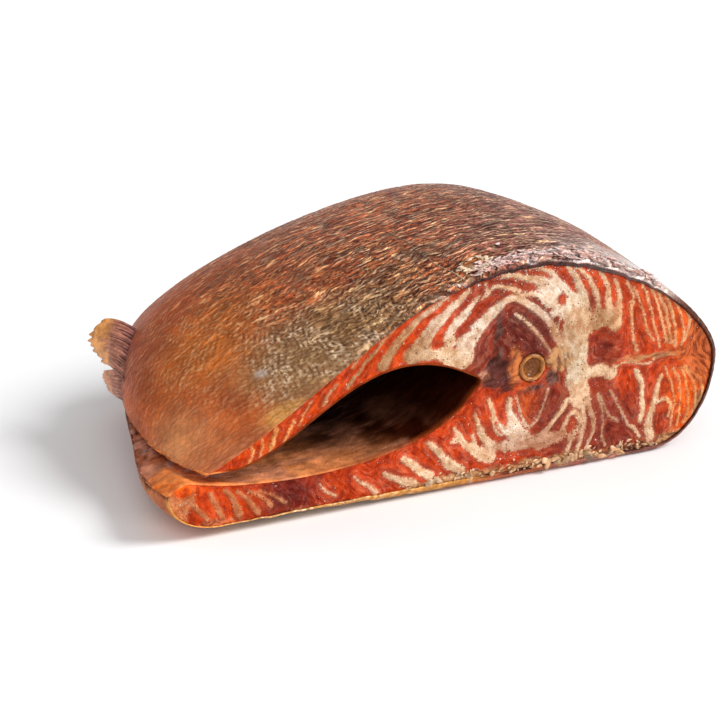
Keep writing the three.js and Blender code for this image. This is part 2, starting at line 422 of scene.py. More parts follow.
class Wiring:
    """Adds nodes to a tree. A value is a number, a tuple or another node's output."""

    def __init__(self, tree):
        self.tree = tree

    def node(self, kind, **settings):
        made = self.tree.nodes.new(kind)
        for name, value in settings.items():
            setattr(made, name, value)
        return made

    def put(self, socket, value):
        if isinstance(value, bpy.types.NodeSocket):
            self.tree.links.new(value, socket)
        elif socket.type == "RGBA":
            socket.default_value = (*[float(c) for c in value][:3], 1)
        else:
            socket.default_value = value

    def fed(self, made, values):
        """Puts values on a node's inputs, by name or number, and gives its outputs."""
        for name, value in values.items():
            self.put(made.inputs[name], value)
        return made.outputs

    def math(self, operation, *values, clamp=False):
        made = self.node("ShaderNodeMath", operation=operation, use_clamp=clamp)
        return self.fed(made, dict(enumerate(values)))[0]

    def chain(self, operation, values, clamp=False):
        made = values[0]
        for value in values[1:-1]:
            made = self.math(operation, made, value)
        return self.math(operation, made, values[-1], clamp=clamp)

    def times(self, *values, clamp=False):
        return self.chain("MULTIPLY", values, clamp)

    def plus(self, *values):
        return self.chain("ADD", values)

    def minus(self, *values):
        return self.chain("SUBTRACT", values)

    def vectors(self, operation, *values):
        made = self.node("ShaderNodeVectorMath", operation=operation)
        return self.fed(made, dict(enumerate(values)))[0]

    def split(self, vector):
        return self.fed(self.node("ShaderNodeSeparateXYZ"), {0: vector})

    def join(self, *parts):
        return self.fed(self.node("ShaderNodeCombineXYZ"), dict(enumerate(parts)))[0]

    def ease(self, value, low, high, to_low=0.0, to_high=1.0):
        made = self.node("ShaderNodeMapRange", interpolation_type="SMOOTHSTEP")
        return self.fed(made, dict(enumerate((value, low, high, to_low, to_high))))[0]

    def mix(self, share, a, b, blend="MIX"):
        made = self.node("ShaderNodeMix", data_type="RGBA", blend_type=blend)
        return self.fed(made, {0: share, 6: a, 7: b})[2]

    def tinted(self, colour, factor):
        """The colour times a factor, which is a colour too."""
        return self.mix(1.0, colour, factor, "MULTIPLY")

    def washed(self, colour, share, factor):
        """The colour, tinted in that share."""
        return self.mix(share, colour, self.tinted(colour, factor))

    def mottled(self, share, colour, dark, light):
        """The colour between a dark tint and a light one."""
        return self.mix(share, self.tinted(colour, dark), self.tinted(colour, light))

    def place(self):
        return self.node("ShaderNodeTexCoord").outputs["Object"]

    def cloud(self, vector, scale, detail=2.0, rough=0.5):
        values = {"Vector": vector, "Scale": scale, "Detail": detail, "Roughness": rough}
        return self.fed(self.node("ShaderNodeTexNoise"), values)["Fac"]

    def noise(self, size, detail=2.0, rough=0.5):
        """Noise over the piece, with lumps of about that size in mm."""
        return self.cloud(self.place(), 1000.0 / size, detail, rough)

    def cells(self, vector, randomness, feature="F1"):
        made = self.node("ShaderNodeTexVoronoi", voronoi_dimensions="2D", feature=feature)
        return self.fed(made, {"Vector": vector, "Scale": 1.0, "Randomness": randomness})

    def attribute(self, name, output="Fac"):
        return self.node("ShaderNodeAttribute", attribute_name=name).outputs[output]

    def effect(self, tree, **values):
        made = self.node("ShaderNodeGroup", node_tree=tree)
        return self.fed(made, {name.replace("_", " "): value for name, value in values.items()})

    def bump(self, height, strength, distance):
        """A normal out of a height; the distance is in mm."""
        made = self.node("ShaderNodeBump")
        return self.fed(made, {"Height": height, "Strength": strength, "Distance": distance / 1000})[0]


def new_effect(name, sizes, outputs):
    """A group that takes a place and some sizes and puts out values."""
    tree = bpy.data.node_groups.new(name, "ShaderNodeTree")
    tree.interface.new_socket("Place", in_out="INPUT", socket_type="NodeSocketVector")
    for label, value in sizes.items():
        socket = tree.interface.new_socket(label, in_out="INPUT", socket_type="NodeSocketFloat")
        socket.default_value = value
    for label in outputs:
        tree.interface.new_socket(label, in_out="OUTPUT", socket_type="NodeSocketFloat")
    wiring = Wiring(tree)
    return tree, wiring, wiring.node("NodeGroupInput").outputs, wiring.node("NodeGroupOutput").inputs


def juicy_grain():
    """Shared by everything moist: fine grain, blotches and pits, each 0 to 1. Sizes are in mm."""
    sizes = {"Grain Size": 0.5, "Blotch Size": 6.0}
    tree, w, given, out = new_effect("Juicy Grain", sizes, ("Grain", "Blotch", "Pits"))
    for label, detail in (("Grain", 2.0), ("Blotch", 3.0)):
        scale = w.math("DIVIDE", 1000.0, given[label + " Size"])
        w.put(out[label], w.cloud(given["Place"], scale, detail))
    scale = w.math("DIVIDE", 400.0, given["Grain Size"])
    pits = w.fed(w.node("ShaderNodeTexVoronoi"), {"Vector": given["Place"], "Scale": scale})
    w.put(out["Pits"], w.ease(pits["Distance"], 0.12, 0.4, 1.0, 0.0))
    return tree


def scale_rows():
    """Scales on a diamond lattice over a place in mm.

    Streak and Dash are painted glints, on each scale and along its column, Net and Gap the lines
    between scales and between columns, Shade differs from scale to scale, Dome is a height.
    """
    names = ("Streak", "Net", "Shade", "Dome", "Dash", "Gap")
    tree, w, given, out = new_effect("Scale Rows", {"Pitch": 2.6, "Jitter": 0.45}, names)
    p, q = (w.math("DIVIDE", part, given["Pitch"]) for part in w.split(given["Place"])[:2])
    down, over = w.plus(p, q), w.minus(p, q)
    lattice = w.join(w.minus(down, 0.25), w.minus(over, 0.25))

    cells = w.cells(lattice, given["Jitter"])
    parts = w.split(w.vectors("SUBTRACT", lattice, cells["Position"]))
    across, along = w.math("ABSOLUTE", w.plus(parts[0], parts[1])), w.minus(parts[0], parts[1])
    reach = w.plus(w.math("POWER", across, 2.0), w.math("POWER", w.times(along, 2.1), 2.0))
    shade = w.split(cells["Color"])
    w.put(out["Shade"], shade[0])
    streak = w.times(w.ease(reach, 0.15, 1.1, 1.0, 0.0), w.ease(shade[1], 0.05, 0.8, 0.1, 1.0))
    w.put(out["Streak"], streak)
    dome = w.minus(1.0, w.times(cells["Distance"], 1.2))
    w.put(out["Dome"], w.plus(dome, w.times(along, 0.35)))
    edges = w.cells(lattice, given["Jitter"], "DISTANCE_TO_EDGE")
    w.put(out["Net"], w.ease(edges["Distance"], 0.03, 0.2, 1.0, 0.0))

    column = w.plus(over, w.times(w.cloud(given["Place"], 0.35), 0.6))
    beside = w.math("ABSOLUTE", w.minus(w.math("FRACT", column), 0.5))
    w.put(out["Gap"], w.ease(beside, 0.3, 0.5))
    ladder = w.join(w.times(down, 0.75), w.times(w.math("FLOOR", column), 13.7))
    dash = w.times(w.ease(w.cloud(ladder, 1.0, 1.0), 0.42, 0.58), w.ease(beside, 0.08, 0.36, 1.0, 0.0))
    w.put(out["Dash"], w.times(w.ease(w.cloud(given["Place"], 0.9), 0.35, 0.6, 0.1, 1.0), dash))
    return tree


def strands():
    """Fibres round the body: masks of creases and ridges, which the skin paints as shade and highlights, and
    a height, each 0 to 1.

    Place is in mm, round the body and along it.
    """
    sizes = {"Length": 6.0, "Width": 1.2, "Crease Width": 0.05, "Detail": 2.0}
    tree, w, given, out = new_effect("Strands", sizes, ("Crease", "Ridge", "Lift"))
    spot = w.split(given["Place"])
    drift = w.cloud(given["Place"], w.math("DIVIDE", 0.5, given["Width"]))
    wander = w.times(w.minus(drift, 0.5), w.times(given["Width"], 1.6))
    along = w.math("DIVIDE", spot[0], given["Length"])
    beside = w.math("DIVIDE", w.plus(spot[1], wander), given["Width"])
    value = w.cloud(w.join(along, beside), 1.0, given["Detail"], 0.55)
    from_middle = w.math("ABSOLUTE", w.minus(value, 0.5))
    w.put(out["Crease"], w.ease(from_middle, 0.0, given["Crease Width"], 1.0, 0.0))
    w.put(out["Ridge"], w.ease(value, 0.54, 0.64))
    w.put(out["Lift"], value)
    return tree


def new_finish(name, **plain):
    """A material, its wiring and its shader's inputs, with the plain ones set."""
    material = bpy.data.materials.new(name)
    material.use_nodes = True
    shader = material.node_tree.nodes["Principled BSDF"].inputs
    for label, value in plain.items():
        shader[label.replace("_", " ")].default_value = value
    return material, Wiring(material.node_tree), shader


# Strands of the skin: length, width and crease width in mm, and detail.
STRANDS = {
    "broad": (26.0, 2.8, 0.06, 1.2), "medium": (11.5, 2.6, 0.09, 1.6),
    "fine": (5.0, 1.35, 0.1, 2.5), "shreds": (7.0, 1.9, 0.1, 2.0),
}


def skin_finish(grain, scales, fibres, sizes, colours):
    material, w, shader = new_finish(
        "Smoked skin", Coat_Roughness=0.2, Specular_IOR_Level=0.15, Specular_Tint=(0.85, 0.6, 0.42, 1)
    )
    shade = lambda name: linear(own_rgb(colours, name))
    names = "groove glint rim wet crown fibre peel"
    groove, glint, rim, wet, crown, fibre, peel = (w.attribute(name) for name in names.split())
    spot = w.node("ShaderNodeUVMap", uv_map="along_skin").outputs[0]
    parts = ("Length", "Width", "Crease_Width", "Detail")
    strand = lambda name, place: w.effect(fibres, Place=place, **dict(zip(parts, STRANDS[name])))
    broad, medium, fine, shreds = (strand(name, spot) for name in STRANDS)
    lee = strand("broad", w.vectors("ADD", spot, (0.3, 1.0, 0.0)))
    rows = w.effect(scales, Place=spot, Pitch=1000 * sizes.scale_pitch, Jitter=0.5)
    moist = w.effect(grain, Place=w.place(), Grain_Size=0.5, Blotch_Size=8.0)
    on_crown = lambda low, high: w.ease(crown, 0.0, 1.0, low, high)

    blotch = w.ease(moist["Blotch"], 0.34, 0.68)
    base = w.mottled(blotch, w.attribute("tone", "Color"), (0.84, 0.8, 0.8), (1.12, 1.1, 1.04))
    # Tone from scale to scale and the lines between them, then painted shade in the fibres' creases and
    # painted highlights on their ridges.
    for share, tint in (
        (w.times(rows["Shade"], 0.28), (1.6, 1.55, 1.4)),
        (w.times(rows["Net"], on_crown(0.16, 0.36)), (0.3, 0.25, 0.25)),
        (w.times(w.times(rows["Gap"], glint, clamp=True), 0.6), (0.34, 0.27, 0.24)),
        (w.times(medium["Crease"], fibre, on_crown(0.5, 1.0)), (0.22, 0.1, 0.12)),
        (w.times(medium["Ridge"], fibre, 0.42), (2.15, 2.1, 2.2)),
        (w.times(fine["Crease"], fibre, 0.8), (0.2, 0.13, 0.12)),
        (w.times(fine["Ridge"], fibre, 0.45), (2.4, 2.4, 2.5)),
    ):
        base = w.washed(base, share, tint)
    # Painted shade in the grooves of the back.
    base = w.mix(w.times(groove, 0.45, clamp=True), base, shade("groove"))
    # Painted shade and highlight: a broad crease is darkened, with a bright crest painted beside it.
    crest = w.times(lee["Crease"], w.ease(fine["Lift"], 0.42, 0.56), on_crown(0.15, 1.0))
    base = w.mix(crest, base, w.mix(0.6, w.tinted(base, (2.3, 2.6, 2.8)), shade("glint")))
    crease = w.times(broad["Crease"], on_crown(0.1, 0.9))
    base = w.mix(crease, base, w.mix(0.75, base, shade("groove")))
    # Painted highlights: glints on the scales, and sparks on the fibres.
    both = w.times(medium["Ridge"], fibre, fine["Ridge"])
    lit = w.plus(w.times(rows["Streak"], 0.35), w.plus(rows["Dash"], both))
    lit = w.times(w.times(lit, glint, clamp=True), w.ease(fine["Lift"], 0.36, 0.56, 0.2, 1.0))
    base = w.mix(lit, base, w.mix(w.ease(glint, 0.35, 0.9), shade("spark"), shade("glint")))
    patchy = w.ease(w.noise(5.0, 3.0, 0.6), 0.45, 0.56, 0.12, 1.0)
    spark = w.times(medium["Ridge"], fibre, w.ease(fine["Lift"], 0.46, 0.6), patchy)
    base = w.mix(spark, base, w.mix(0.85, w.tinted(base, (1.8, 2.3, 2.3)), shade("spark")))
    # Peeled skin along the cut, and the cut edge itself.
    torn = w.ease(w.plus(peel, w.times(w.minus(shreds["Lift"], 0.5), 1.7)), 0.44, 0.54)
    flake = w.mix(w.ease(moist["Grain"], 0.35, 0.6), shade("flake"), (0.98, 0.93, 0.92))
    flake = w.mix(w.times(shreds["Crease"], 0.8), flake, w.tinted(shade("rim"), (1.6, 1.2, 1.2)))
    base = w.mix(torn, base, flake)
    rim_share = w.ease(w.noise(1.6, 3.0, 0.6), 0.35, 0.65)
    base = w.mix(rim, base, w.mottled(rim_share, shade("rim"), (0.4, 0.3, 0.3), (2.6, 1.9, 1.7)))

    w.put(shader["Base Color"], base)
    w.put(shader["Roughness"], w.plus(w.ease(fine["Lift"], 0.3, 0.7, 0.5, 0.36), w.times(groove, 0.2)))
    w.put(shader["Coat Weight"], wet)
    w.put(shader["Metallic"], w.ease(torn, 0.0, 1.0, 0.35, 0.0))
    relief = w.plus(fine["Lift"], w.times(medium["Lift"], 1.6))
    relief = w.times(relief, w.ease(fibre, 0.1, 0.8, 0.45, 1.0))
    relief = w.plus(relief, w.times(rows["Dome"], 0.5), w.times(torn, 0.8))
    relief = w.minus(relief, w.times(broad["Crease"], on_crown(0.2, 1.2)))
    w.put(shader["Normal"], w.bump(relief, 1.0, 0.45))
    return material


def flesh_finish(grain):
    material, w, shader = new_finish(
        "Marbled flesh", Coat_Roughness=0.08, Specular_IOR_Level=0.1, Specular_Tint=(1.0, 0.6, 0.4, 1),
        Subsurface_Weight=0.12, Subsurface_Radius=(1.0, 0.35, 0.2), Subsurface_Scale=0.0012,
    )
    meat, fat, stain = (w.attribute(name, "Color") for name in ("meat", "fat", "stain"))
    seam, cover = w.attribute("seam"), w.attribute("cover")
    moist = w.effect(grain, Place=w.place(), Grain_Size=0.5, Blotch_Size=3.0)
    ragged = w.times(w.minus(w.noise(0.9, 4.0, 0.66), 0.43), 2.5)
    depth = w.plus(seam, ragged)
    white = w.ease(depth, -0.3, 0.55)
    halo = w.times(w.ease(depth, -1.8, 0.0), 0.2)

    # Muscle, in layers that follow the seams.
    dark, light = (0.66, 0.52, 0.56), (1.15, 1.2, 1.05)
    muscle = w.mottled(w.ease(moist["Blotch"], 0.34, 0.66), meat, dark, light)
    spot = w.split(w.place())
    layers = w.join(w.times(seam, 0.8), *(w.times(part, 230.0) for part in (spot[0], spot[2])))
    band = w.cloud(layers, 1.0, 4.0)
    muscle = w.washed(muscle, w.ease(band, 0.38, 0.5, 0.55, 0.0), (0.5, 0.36, 0.36))
    fatty = w.mix(0.08, w.tinted(meat, (1.4, 1.9, 1.6)), fat)
    muscle = w.mix(w.ease(band, 0.54, 0.66, 0.0, 0.55), muscle, fatty)
    phase = w.math("FRACT", w.plus(w.times(seam, 0.5), w.times(w.noise(7.0, 1.0), 0.9)))
    echo = w.ease(w.math("ABSOLUTE", w.minus(phase, 0.5)), 0.0, 0.3, 1.0, 0.0)
    echo = w.times(echo, w.times(w.ease(seam, -5.0, -1.2), w.ease(w.noise(5.0, 3.0), 0.42, 0.6)))
    muscle = w.mix(w.times(echo, 0.22), muscle, w.mix(0.5, meat, fat))
    muscle = w.mix(halo, muscle, w.mix(0.3, meat, fat))

    # Fat, curdled and pitted.
    dark, light = (0.76, 0.62, 0.52), (1.08, 1.1, 1.14)
    curd = w.mottled(w.ease(moist["Blotch"], 0.34, 0.62), fat, dark, light)
    curd = w.mix(w.ease(moist["Grain"], 0.3, 0.6, 0.4, 0.0), curd, w.tinted(fat, (0.5, 0.36, 0.3)))
    curd = w.mix(w.ease(band, 0.36, 0.5, 0.45, 0.0), curd, w.tinted(fat, (0.62, 0.42, 0.32)))
    pits = w.times(w.ease(moist["Pits"], 0.55, 0.8), w.ease(w.noise(4.0, 2.0), 0.5, 0.58))
    curd = w.mix(pits, curd, w.tinted(fat, (0.16, 0.08, 0.06)))
    base = w.mix(white, muscle, curd)

    # Stains over both, and pale flecks of painted wet highlight, thickest near the top.
    dark, light = (0.42, 0.36, 0.34), (1.25, 1.3, 1.3)
    spread = w.ease(w.plus(cover, ragged), -0.7, 0.9)
    stained = w.mottled(w.ease(band, 0.36, 0.6), stain, dark, light)
    base = w.mix(w.times(spread, 0.85), base, stained)
    high = w.times(w.ease(spot[2], 0.064, 0.076), w.ease(w.noise(4.0, 3.0), 0.4, 0.56))
    glint_flecks = w.ease(w.plus(w.noise(1.0, 4.0, 0.7), w.times(high, 0.07)), 0.64, 0.67)
    glint_patches = w.math("MAXIMUM", w.ease(w.noise(6.0, 3.0), 0.5, 0.6), high)
    wet_glints = w.times(glint_flecks, glint_patches)
    # Painted highlight: the wet flecks are this pale.
    base = w.mix(wet_glints, base, (0.92, 0.84, 0.76))

    w.put(shader["Base Color"], base)
    w.put(shader["Roughness"], w.plus(w.times(white, 0.1), w.ease(moist["Grain"], 0.3, 0.7, 0.22, 0.38)))
    w.put(shader["Coat Weight"], w.times(w.ease(w.noise(1.6, 4.0, 0.6), 0.54, 0.62), 0.5))
    relief = w.plus(w.times(moist["Grain"], 0.8), w.times(white, 0.3), w.times(band, 1.5))
    w.put(shader["Normal"], w.bump(w.plus(relief, w.times(wet_glints, 0.8)), 1.0, 0.5))
    return material


def plain_finish(name, grain, roughness, coat, grain_size, blotch_size, bump, shine=0.25, gleam=(1, 1, 1)):
    """A finish whose colour is the piece's own tone, mottled. With no coat given, the wet attribute is its
    coat and places painted highlight specks.
    """
    material, w, shader = new_finish(
        name, Coat_Roughness=0.15, Specular_IOR_Level=shine, Specular_Tint=(*gleam, 1)
    )
    moist = w.effect(grain, Place=w.place(), Grain_Size=grain_size, Blotch_Size=blotch_size)
    blotch = w.ease(moist["Blotch"], 0.3, 0.7)
    base = w.mottled(blotch, w.attribute("tone", "Color"), (0.6, 0.55, 0.52), (1.15, 1.12, 1.1))
    base = w.washed(base, w.times(moist["Pits"], 0.3), (0.55, 0.48, 0.44))
    if coat is None:
        coat = w.attribute("wet")
        # Painted highlights: pale specks where the piece is wet.
        wet_glints = w.times(w.ease(w.noise(1.3, 4.0, 0.65), 0.65, 0.7), coat)
        base = w.mix(wet_glints, base, (0.95, 0.9, 0.84))
    w.put(shader["Base Color"], base)
    w.put(shader["Roughness"], w.ease(moist["Grain"], 0.3, 0.7, roughness - 0.08, roughness + 0.1))
    w.put(shader["Coat Weight"], coat)
    w.put(shader["Normal"], w.bump(w.plus(moist["Grain"], w.times(moist["Blotch"], 0.8)), 0.8, bump))
    return material


# ---- Skin ----------------------------------------------------------------------------------

# Places on the skin are an arc, mm round from the upper lip, and y. These are the ridge and the end.
ARC_RIDGE = 236.0
ARC_END = 475.0
# The skin's rim at the near cut, [y, share of its thickness], its first whole row, and its hidden rows.
SKIN_RIM = [(-0.1, 1.0), (-0.4, 0.72), (-0.35, 0.35), (0.0, 0.08)]
SKIN_START = 0.6
SKIN_HIDDEN = (LENGTH - SKIN_START, 112, 100, 86, 72, 58, 44, 30, 18, 8, SKIN_START)
# A torn patch: arc, y and its reach both ways. The wet skin of the shoulder is painted this pale, as a
# reflection of the light.
TORN_PATCH = (131, 6, 7.0, 3.6)
SHOULDER_GLARE_TONE = (244, 232, 230)
# Tones of the skin: arc, y, reach both ways, strength, name.
SKIN_ZONES = [
    (12, 56, 24, 44, 1.0, "copper"), (30, 76, 20, 24, 1.3, "russet"), (34, 44, 15, 15, 1.6, "gold"),
    (52, 56, 16, 13, 1.3, "gold"), (16, 22, 9, 12, 1.5, "russet"), (50, 10, 26, 15, 1.6, "olive"),
    (84, 10, 22, 14, 1.3, "olive"), (66, 78, 24, 26, 1.1, "copper"), (84, 62, 26, 24, 1.0, "mocha"),
    (96, 40, 16, 12, 0.9, "copper"), (128, 55, 34, 50, 1.1, "mocha"), (112, 26, 16, 10, 0.8, "olive"),
    (118, 10, 18, 10, 0.9, "mocha"), (160, 22, 30, 30, 1.2, "plum"), (182, 60, 30, 60, 1.1, "plum"),
    (216, 60, 20, 90, 1.4, "ridge"), (238, 60, 22, 90, 1.6, "ridge"), (24, 1.5, 5, 3, 2.0, "straw"),
    (14, 12, 10, 9, 2.4, "russet"), (9, 20, 8, 12, 2.4, "tan"), (12, 82, 13, 18, 1.4, "plum"),
    (90, 29.5, 2.6, 2.0, 2.2, "bruise"), (36.7, 17.5, 1.6, 1.6, 3.0, "scar"), (*TORN_PATCH, 7, "amber"),
]


def blend(x, y, base, zones, tones, floor_share=0.5):
    """One colour out of soft zones of named tones, in linear light."""
    total = np.full(np.shape(x), floor_share)
    colour_sum = total[..., None] * linear(tones[base])
    for cx, cy, rx, ry, strength, name in zones:
        weight = strength * 3 * np.exp(-1.2 * (((x - cx) / rx) ** 2 + ((y - cy) / ry) ** 2))
        colour_sum = colour_sum + weight[..., None] * linear(tones[name])
        total = total + weight
    return colour_sum / total[..., None]


def arc_along(line):
    """The way round at each point of a section's line, drawn out to end at ARC_END."""
    run = run_length(line)
    return run * (ARC_END / run[-1])


def edge_roll(y, arc):
    """How far the skin has rolled in at y, near either cut. By the slit it hardly does."""
    inside = np.clip(np.minimum(y, LENGTH - y), 0, EDGE_ROUND) / EDGE_ROUND
    firm = 0.2 + 0.8 * between(arc, 70, 130) * fade(arc, 380, 430)
    sole = between(arc, 286, 310) * fade(arc, 436, 452) * fade(y, 0.5, 4)
    wave = 0.5 + 0.5 * noise(arc, 0.2 * y, 9, 35) + 0.3 * noise(arc, 0.4 * y, 3.5, 36)
    fray = between(arc, 108, 126) * fade(arc, 196, 214) * fade(y, 0.5, 3)
    fray = fray * (0.3 + 0.35 * noise(arc, 0.4 * y, 2.6, 37))
    return EDGE_ROUND * (1 - np.sqrt(1 - (1 - inside) ** 2)) * firm + 0.8 * sole * wave + fray


def skin_thickness(arc, sizes):
    back = between(arc, 96, 150) * fade(arc, 300, 350)
    under = 0.5 * between(arc, 300, 340) * fade(arc, 400, 440)
    slit = 1 - 0.45 * fade(np.minimum(arc, ARC_END - arc), 20, 90)
    back = back * (1 - 0.85 * between(arc, 184, 206))
    return 1000 * (sizes.skin * slit + sizes.back_skin * np.maximum(back, under))


def mirrored(arc):
    """Arc on the upper flank that looks like this one on the lower."""
    return np.where(arc > ARC_RIDGE, ARC_RIDGE * 2 - arc, arc)


def grown(arc, y):
    """Arc and y with the growth's own drift in them, which the scales and strands follow."""
    a = arc + 1.8 * fractal(arc, y, 21, 2, 31) + 0.6 * noise(arc, y, 6, 33)
    b = y + 1.8 * fractal(arc, y, 17, 2, 32) + 0.6 * noise(arc, y, 5, 34)
    return np.stack([a, b], axis=-1)


def scale_height(spot, pitch):
    p, q = spot[..., 0] / pitch, spot[..., 1] / pitch
    lattice = np.stack([p + q, p - q], axis=-1)
    off = lattice - np.floor(lattice) - 0.5
    across, along = np.abs(off[..., 0] + off[..., 1]), off[..., 0] - off[..., 1]
    return (1 - (across + np.abs(along)) ** 2) * 0.6 + 0.4 * along


def skin_relief(arc, y, spot, sizes):
    m = mirrored(arc)
    back = between(m, 70, 120)
    groove = creases(arc, y + 0.05 * arc, 13, 3.1, 41) * (0.25 + 0.75 * back)
    groove = groove * (0.55 + 0.45 * noise(arc, y, 9, 43))
    calm = between(m, 18, 40) * 0.7 + 0.3
    height = 1000 * sizes.scale_relief * scale_height(spot, 1000 * sizes.scale_pitch) * calm
    height = height - 1000 * sizes.groove * groove
    lumps = 0.45 * fractal(arc, y, 26, 2, 44) + 0.16 * fractal(arc, y, 7, 2, 45)
    return height + lumps * (0.2 + 0.8 * between(np.minimum(y, LENGTH - y), 1, 9)), groove


def skin_layers(a, y, share, groove, colours):
    """Tone and masks of the skin by row and column. Share is 1 at the bottom of the cut edge."""
    m = mirrored(a)
    near_cut = fade(y, 6, 42)
    by_ridge = between(a, 172, 200)
    pale = between(a, 352, 372) * fade(y + 0.8 * noise(a, y, 5, 57), 0.6, 3.0)
    # Painted reflection on the wet shoulder, which is also where the coat is strongest.
    shoulder_wet_glare = between(a, 156, 186) * fade(a, 206, 218) * fade(y + 3 * noise(a, y, 8, 60), 5, 26)
    at_arc, at_y, arc_reach, y_reach = TORN_PATCH
    patch = np.exp(-((((a - at_arc) / arc_reach) ** 2 + ((y - at_y) / y_reach) ** 2) ** 2))

    tones = {zone[5]: own_rgb(colours, zone[5]) for zone in SKIN_ZONES}
    tone = blend(m, y, "mocha", SKIN_ZONES, tones) * (1 + 0.12 * between(m, 60, 100))[..., None]
    tone = tone * (1 + 0.16 * fractal(a, y, 15, 3, 51)[..., None])
    tone = tone * (1 + 0.10 * fractal(a, y, 4, 2, 52)[..., None])
    tone = tone + towards(tone, 0.8 * pale, tones["straw"])
    # Painted reflection: the wet shoulder by the near cut is pushed to near-white.
    tone = tone + towards(tone, 0.7 * shoulder_wet_glare, SHOULDER_GLARE_TONE)

    # Where the painted glints go on the skin, and how strong they are.
    golden = np.exp(-(((m - 42) / 24) ** 2 + ((y - 44) / 26) ** 2))
    by_cut = 1.1 * near_cut * between(m, 18, 40) * fade(m, 62, 104)
    smooth = by_ridge * fade(a, 212, 232)
    glint = 0.36 * golden + by_cut + 0.24 + 0.3 * smooth - 0.12 * between(a, 216, 240)
    glint = glint * (0.2 + 0.8 * between(m, 12, 28)) * (0.75 + 0.9 * fractal(a, y, 10, 2, 53))

    ragged = 0.6 * noise(a, y, 2.2, 54)
    far_in = between(y, 20, 50)
    rim = 0.25 * between(m, 8, 40) + 0.75 * between(m + 14 * noise(a, 0 * y, 9, 59), 92, 120)
    rim = between(share, 0.02, 0.2) * rim * (1 - 0.8 * pale)
    rim = np.maximum(rim, fade(ARC_END - a + ragged * (1 + far_in), 0.6, 1.6 + 1.2 * far_in))
    rim = rim * (1 - 0.7 * between(a, 282, 300) * between(noise(a, y, 4, 58), -0.5, 0.3))
    crusted = 0.7 * between(a, 206, 222) * fade(a, 270, 290) * fade(y + 1.5 * ragged, 0.4, 2.6)
    rim = np.maximum(rim, 0.9 * crusted)

    wet = 0.04 + 0.1 * between(m, 60, 110) * fade(a, 206, 236) + 0.95 * shoulder_wet_glare
    wet = wet + 0.2 * fade(y, 2, 9) * fade(a, 204, 220)
    crown = between(m, 55, 115) * (1 - 0.8 * by_ridge)
    fibre = (0.22 + 0.78 * between(m, 26, 72)) * (1 - 0.7 * near_cut * fade(m, 46, 80))
    fibre = fibre * (1 - 0.75 * by_ridge) * (1 - 0.5 * shoulder_wet_glare) * (1 - 0.8 * patch)
    frayed = y + 2.2 * noise(a, y, 7, 55) + 0.9 * noise(a, y, 2.4, 56)
    peel = between(a, 126, 140) * fade(a, 190, 202) * fade(frayed, 3.4, 8.0) * between(frayed, 0.2, 1.6)
    peel = np.maximum(peel, 0.4 * between(a, 84, 100) * fade(a, 120, 136) * fade(frayed, 0.6, 3.4))
    peel = 0.85 * peel * (1 - patch)
    return {
        "tone": tone, "groove": groove, "glint": glint, "rim": rim, "wet": wet, "crown": crown,
        "fibre": fibre, "peel": peel,
    }


def build_skin(sizes, colours, material):
    mid = skin_line(0.5)
    arc_of = arc_along(mid)
    step = 1000 * sizes.skin_step
    # The flank underneath has wider columns, and the far part wider rows.
    spacing = step * (1 + between(arc_of, 262, 285))
    steps = np.concatenate([[0], np.cumsum(np.diff(arc_of) / spacing[1:])])
    columns = np.interp(np.linspace(0, steps[-1], int(steps[-1]) + 1), steps, np.arange(len(mid)))
    arc = np.interp(columns, np.arange(len(mid)), arc_of)
    ys = [SKIN_START]
    while ys[-1] < LENGTH - SKIN_START - step:
        ys.append(ys[-1] + step * (1 + 0.6 * float(between(ys[-1], 84, 100))))
    rows, outer = rows_of(SKIN_RIM, ys, 0.0, SKIN_HIDDEN, 1.0)

    thick = skin_thickness(arc, sizes)
    inset = np.array([edge_roll(y, arc) + share * thick for y, share in rows])
    a, y = np.broadcast_arrays(arc[None, :], rows[:, :1])
    share = rows[:, 1:]
    spot = grown(a, y)
    height, groove = skin_relief(a, y, spot, sizes)
    height = height * ((np.arange(len(rows)) < outer)[:, None] * (1 - share))
    places, faces = shell(skin_line, columns, rows[:, 0], outer, height - inset, 1)
    layers = skin_layers(a, y, share, groove, colours)
    layers = {name: by_column(values) for name, values in layers.items()}
    show("skin", mesh_of("skin", places, faces, layers, by_column(spot)), material)


def on_skin(arc, y, sizes):
    """Points on the skin, and the directions out of it, in 3-D."""
    points, outs = [], []
    arc_of = arc_along(skin_line(0.5))
    for a, b in zip(arc, y):
        line = skin_line(b / LENGTH)
        index = np.array([np.interp(a, arc_of, np.arange(len(arc_of)))])
        side = pick(side_of(line), index)[0]
        one_a, one_b = np.array([a]), np.array([b])
        height, _ = skin_relief(one_a, one_b, grown(one_a, one_b), sizes)
        flat = pick(line, index)[0] + side * (height[0] - edge_roll(b, a))
        points.append([flat[0], b, flat[1]])
        outs.append([side[0], 0, side[1]])
    return np.array(points), np.array(outs)


# ---- Flesh ---------------------------------------------------------------------------------

TONES = {
    "ember": (204, 62, 6), "flame": (238, 88, 10), "coral": (196, 62, 18), "brick": (176, 54, 18),
    "rust": (154, 48, 24), "umber": (150, 50, 28), "wine": (92, 36, 32), "rosewood": (122, 44, 34),
    "amber": (200, 84, 32), "clay": (122, 50, 38), "mauve": (92, 26, 28),
    "ivory": (242, 224, 202), "cream": (230, 192, 154), "butter": (228, 208, 178), "sand": (206, 168, 130),
    "hazel": (178, 130, 86), "peach": (236, 168, 112), "apricot": (240, 158, 84), "dusk": (180, 124, 98),
    "custard": (240, 210, 174),
    "clot": (70, 42, 40), "slate": (96, 70, 62), "honey": (196, 112, 62), "caramel": (190, 96, 50),
    "syrup": (186, 88, 40), "curd": (186, 140, 96), "crust": (84, 50, 32), "shell": (196, 112, 74),
}
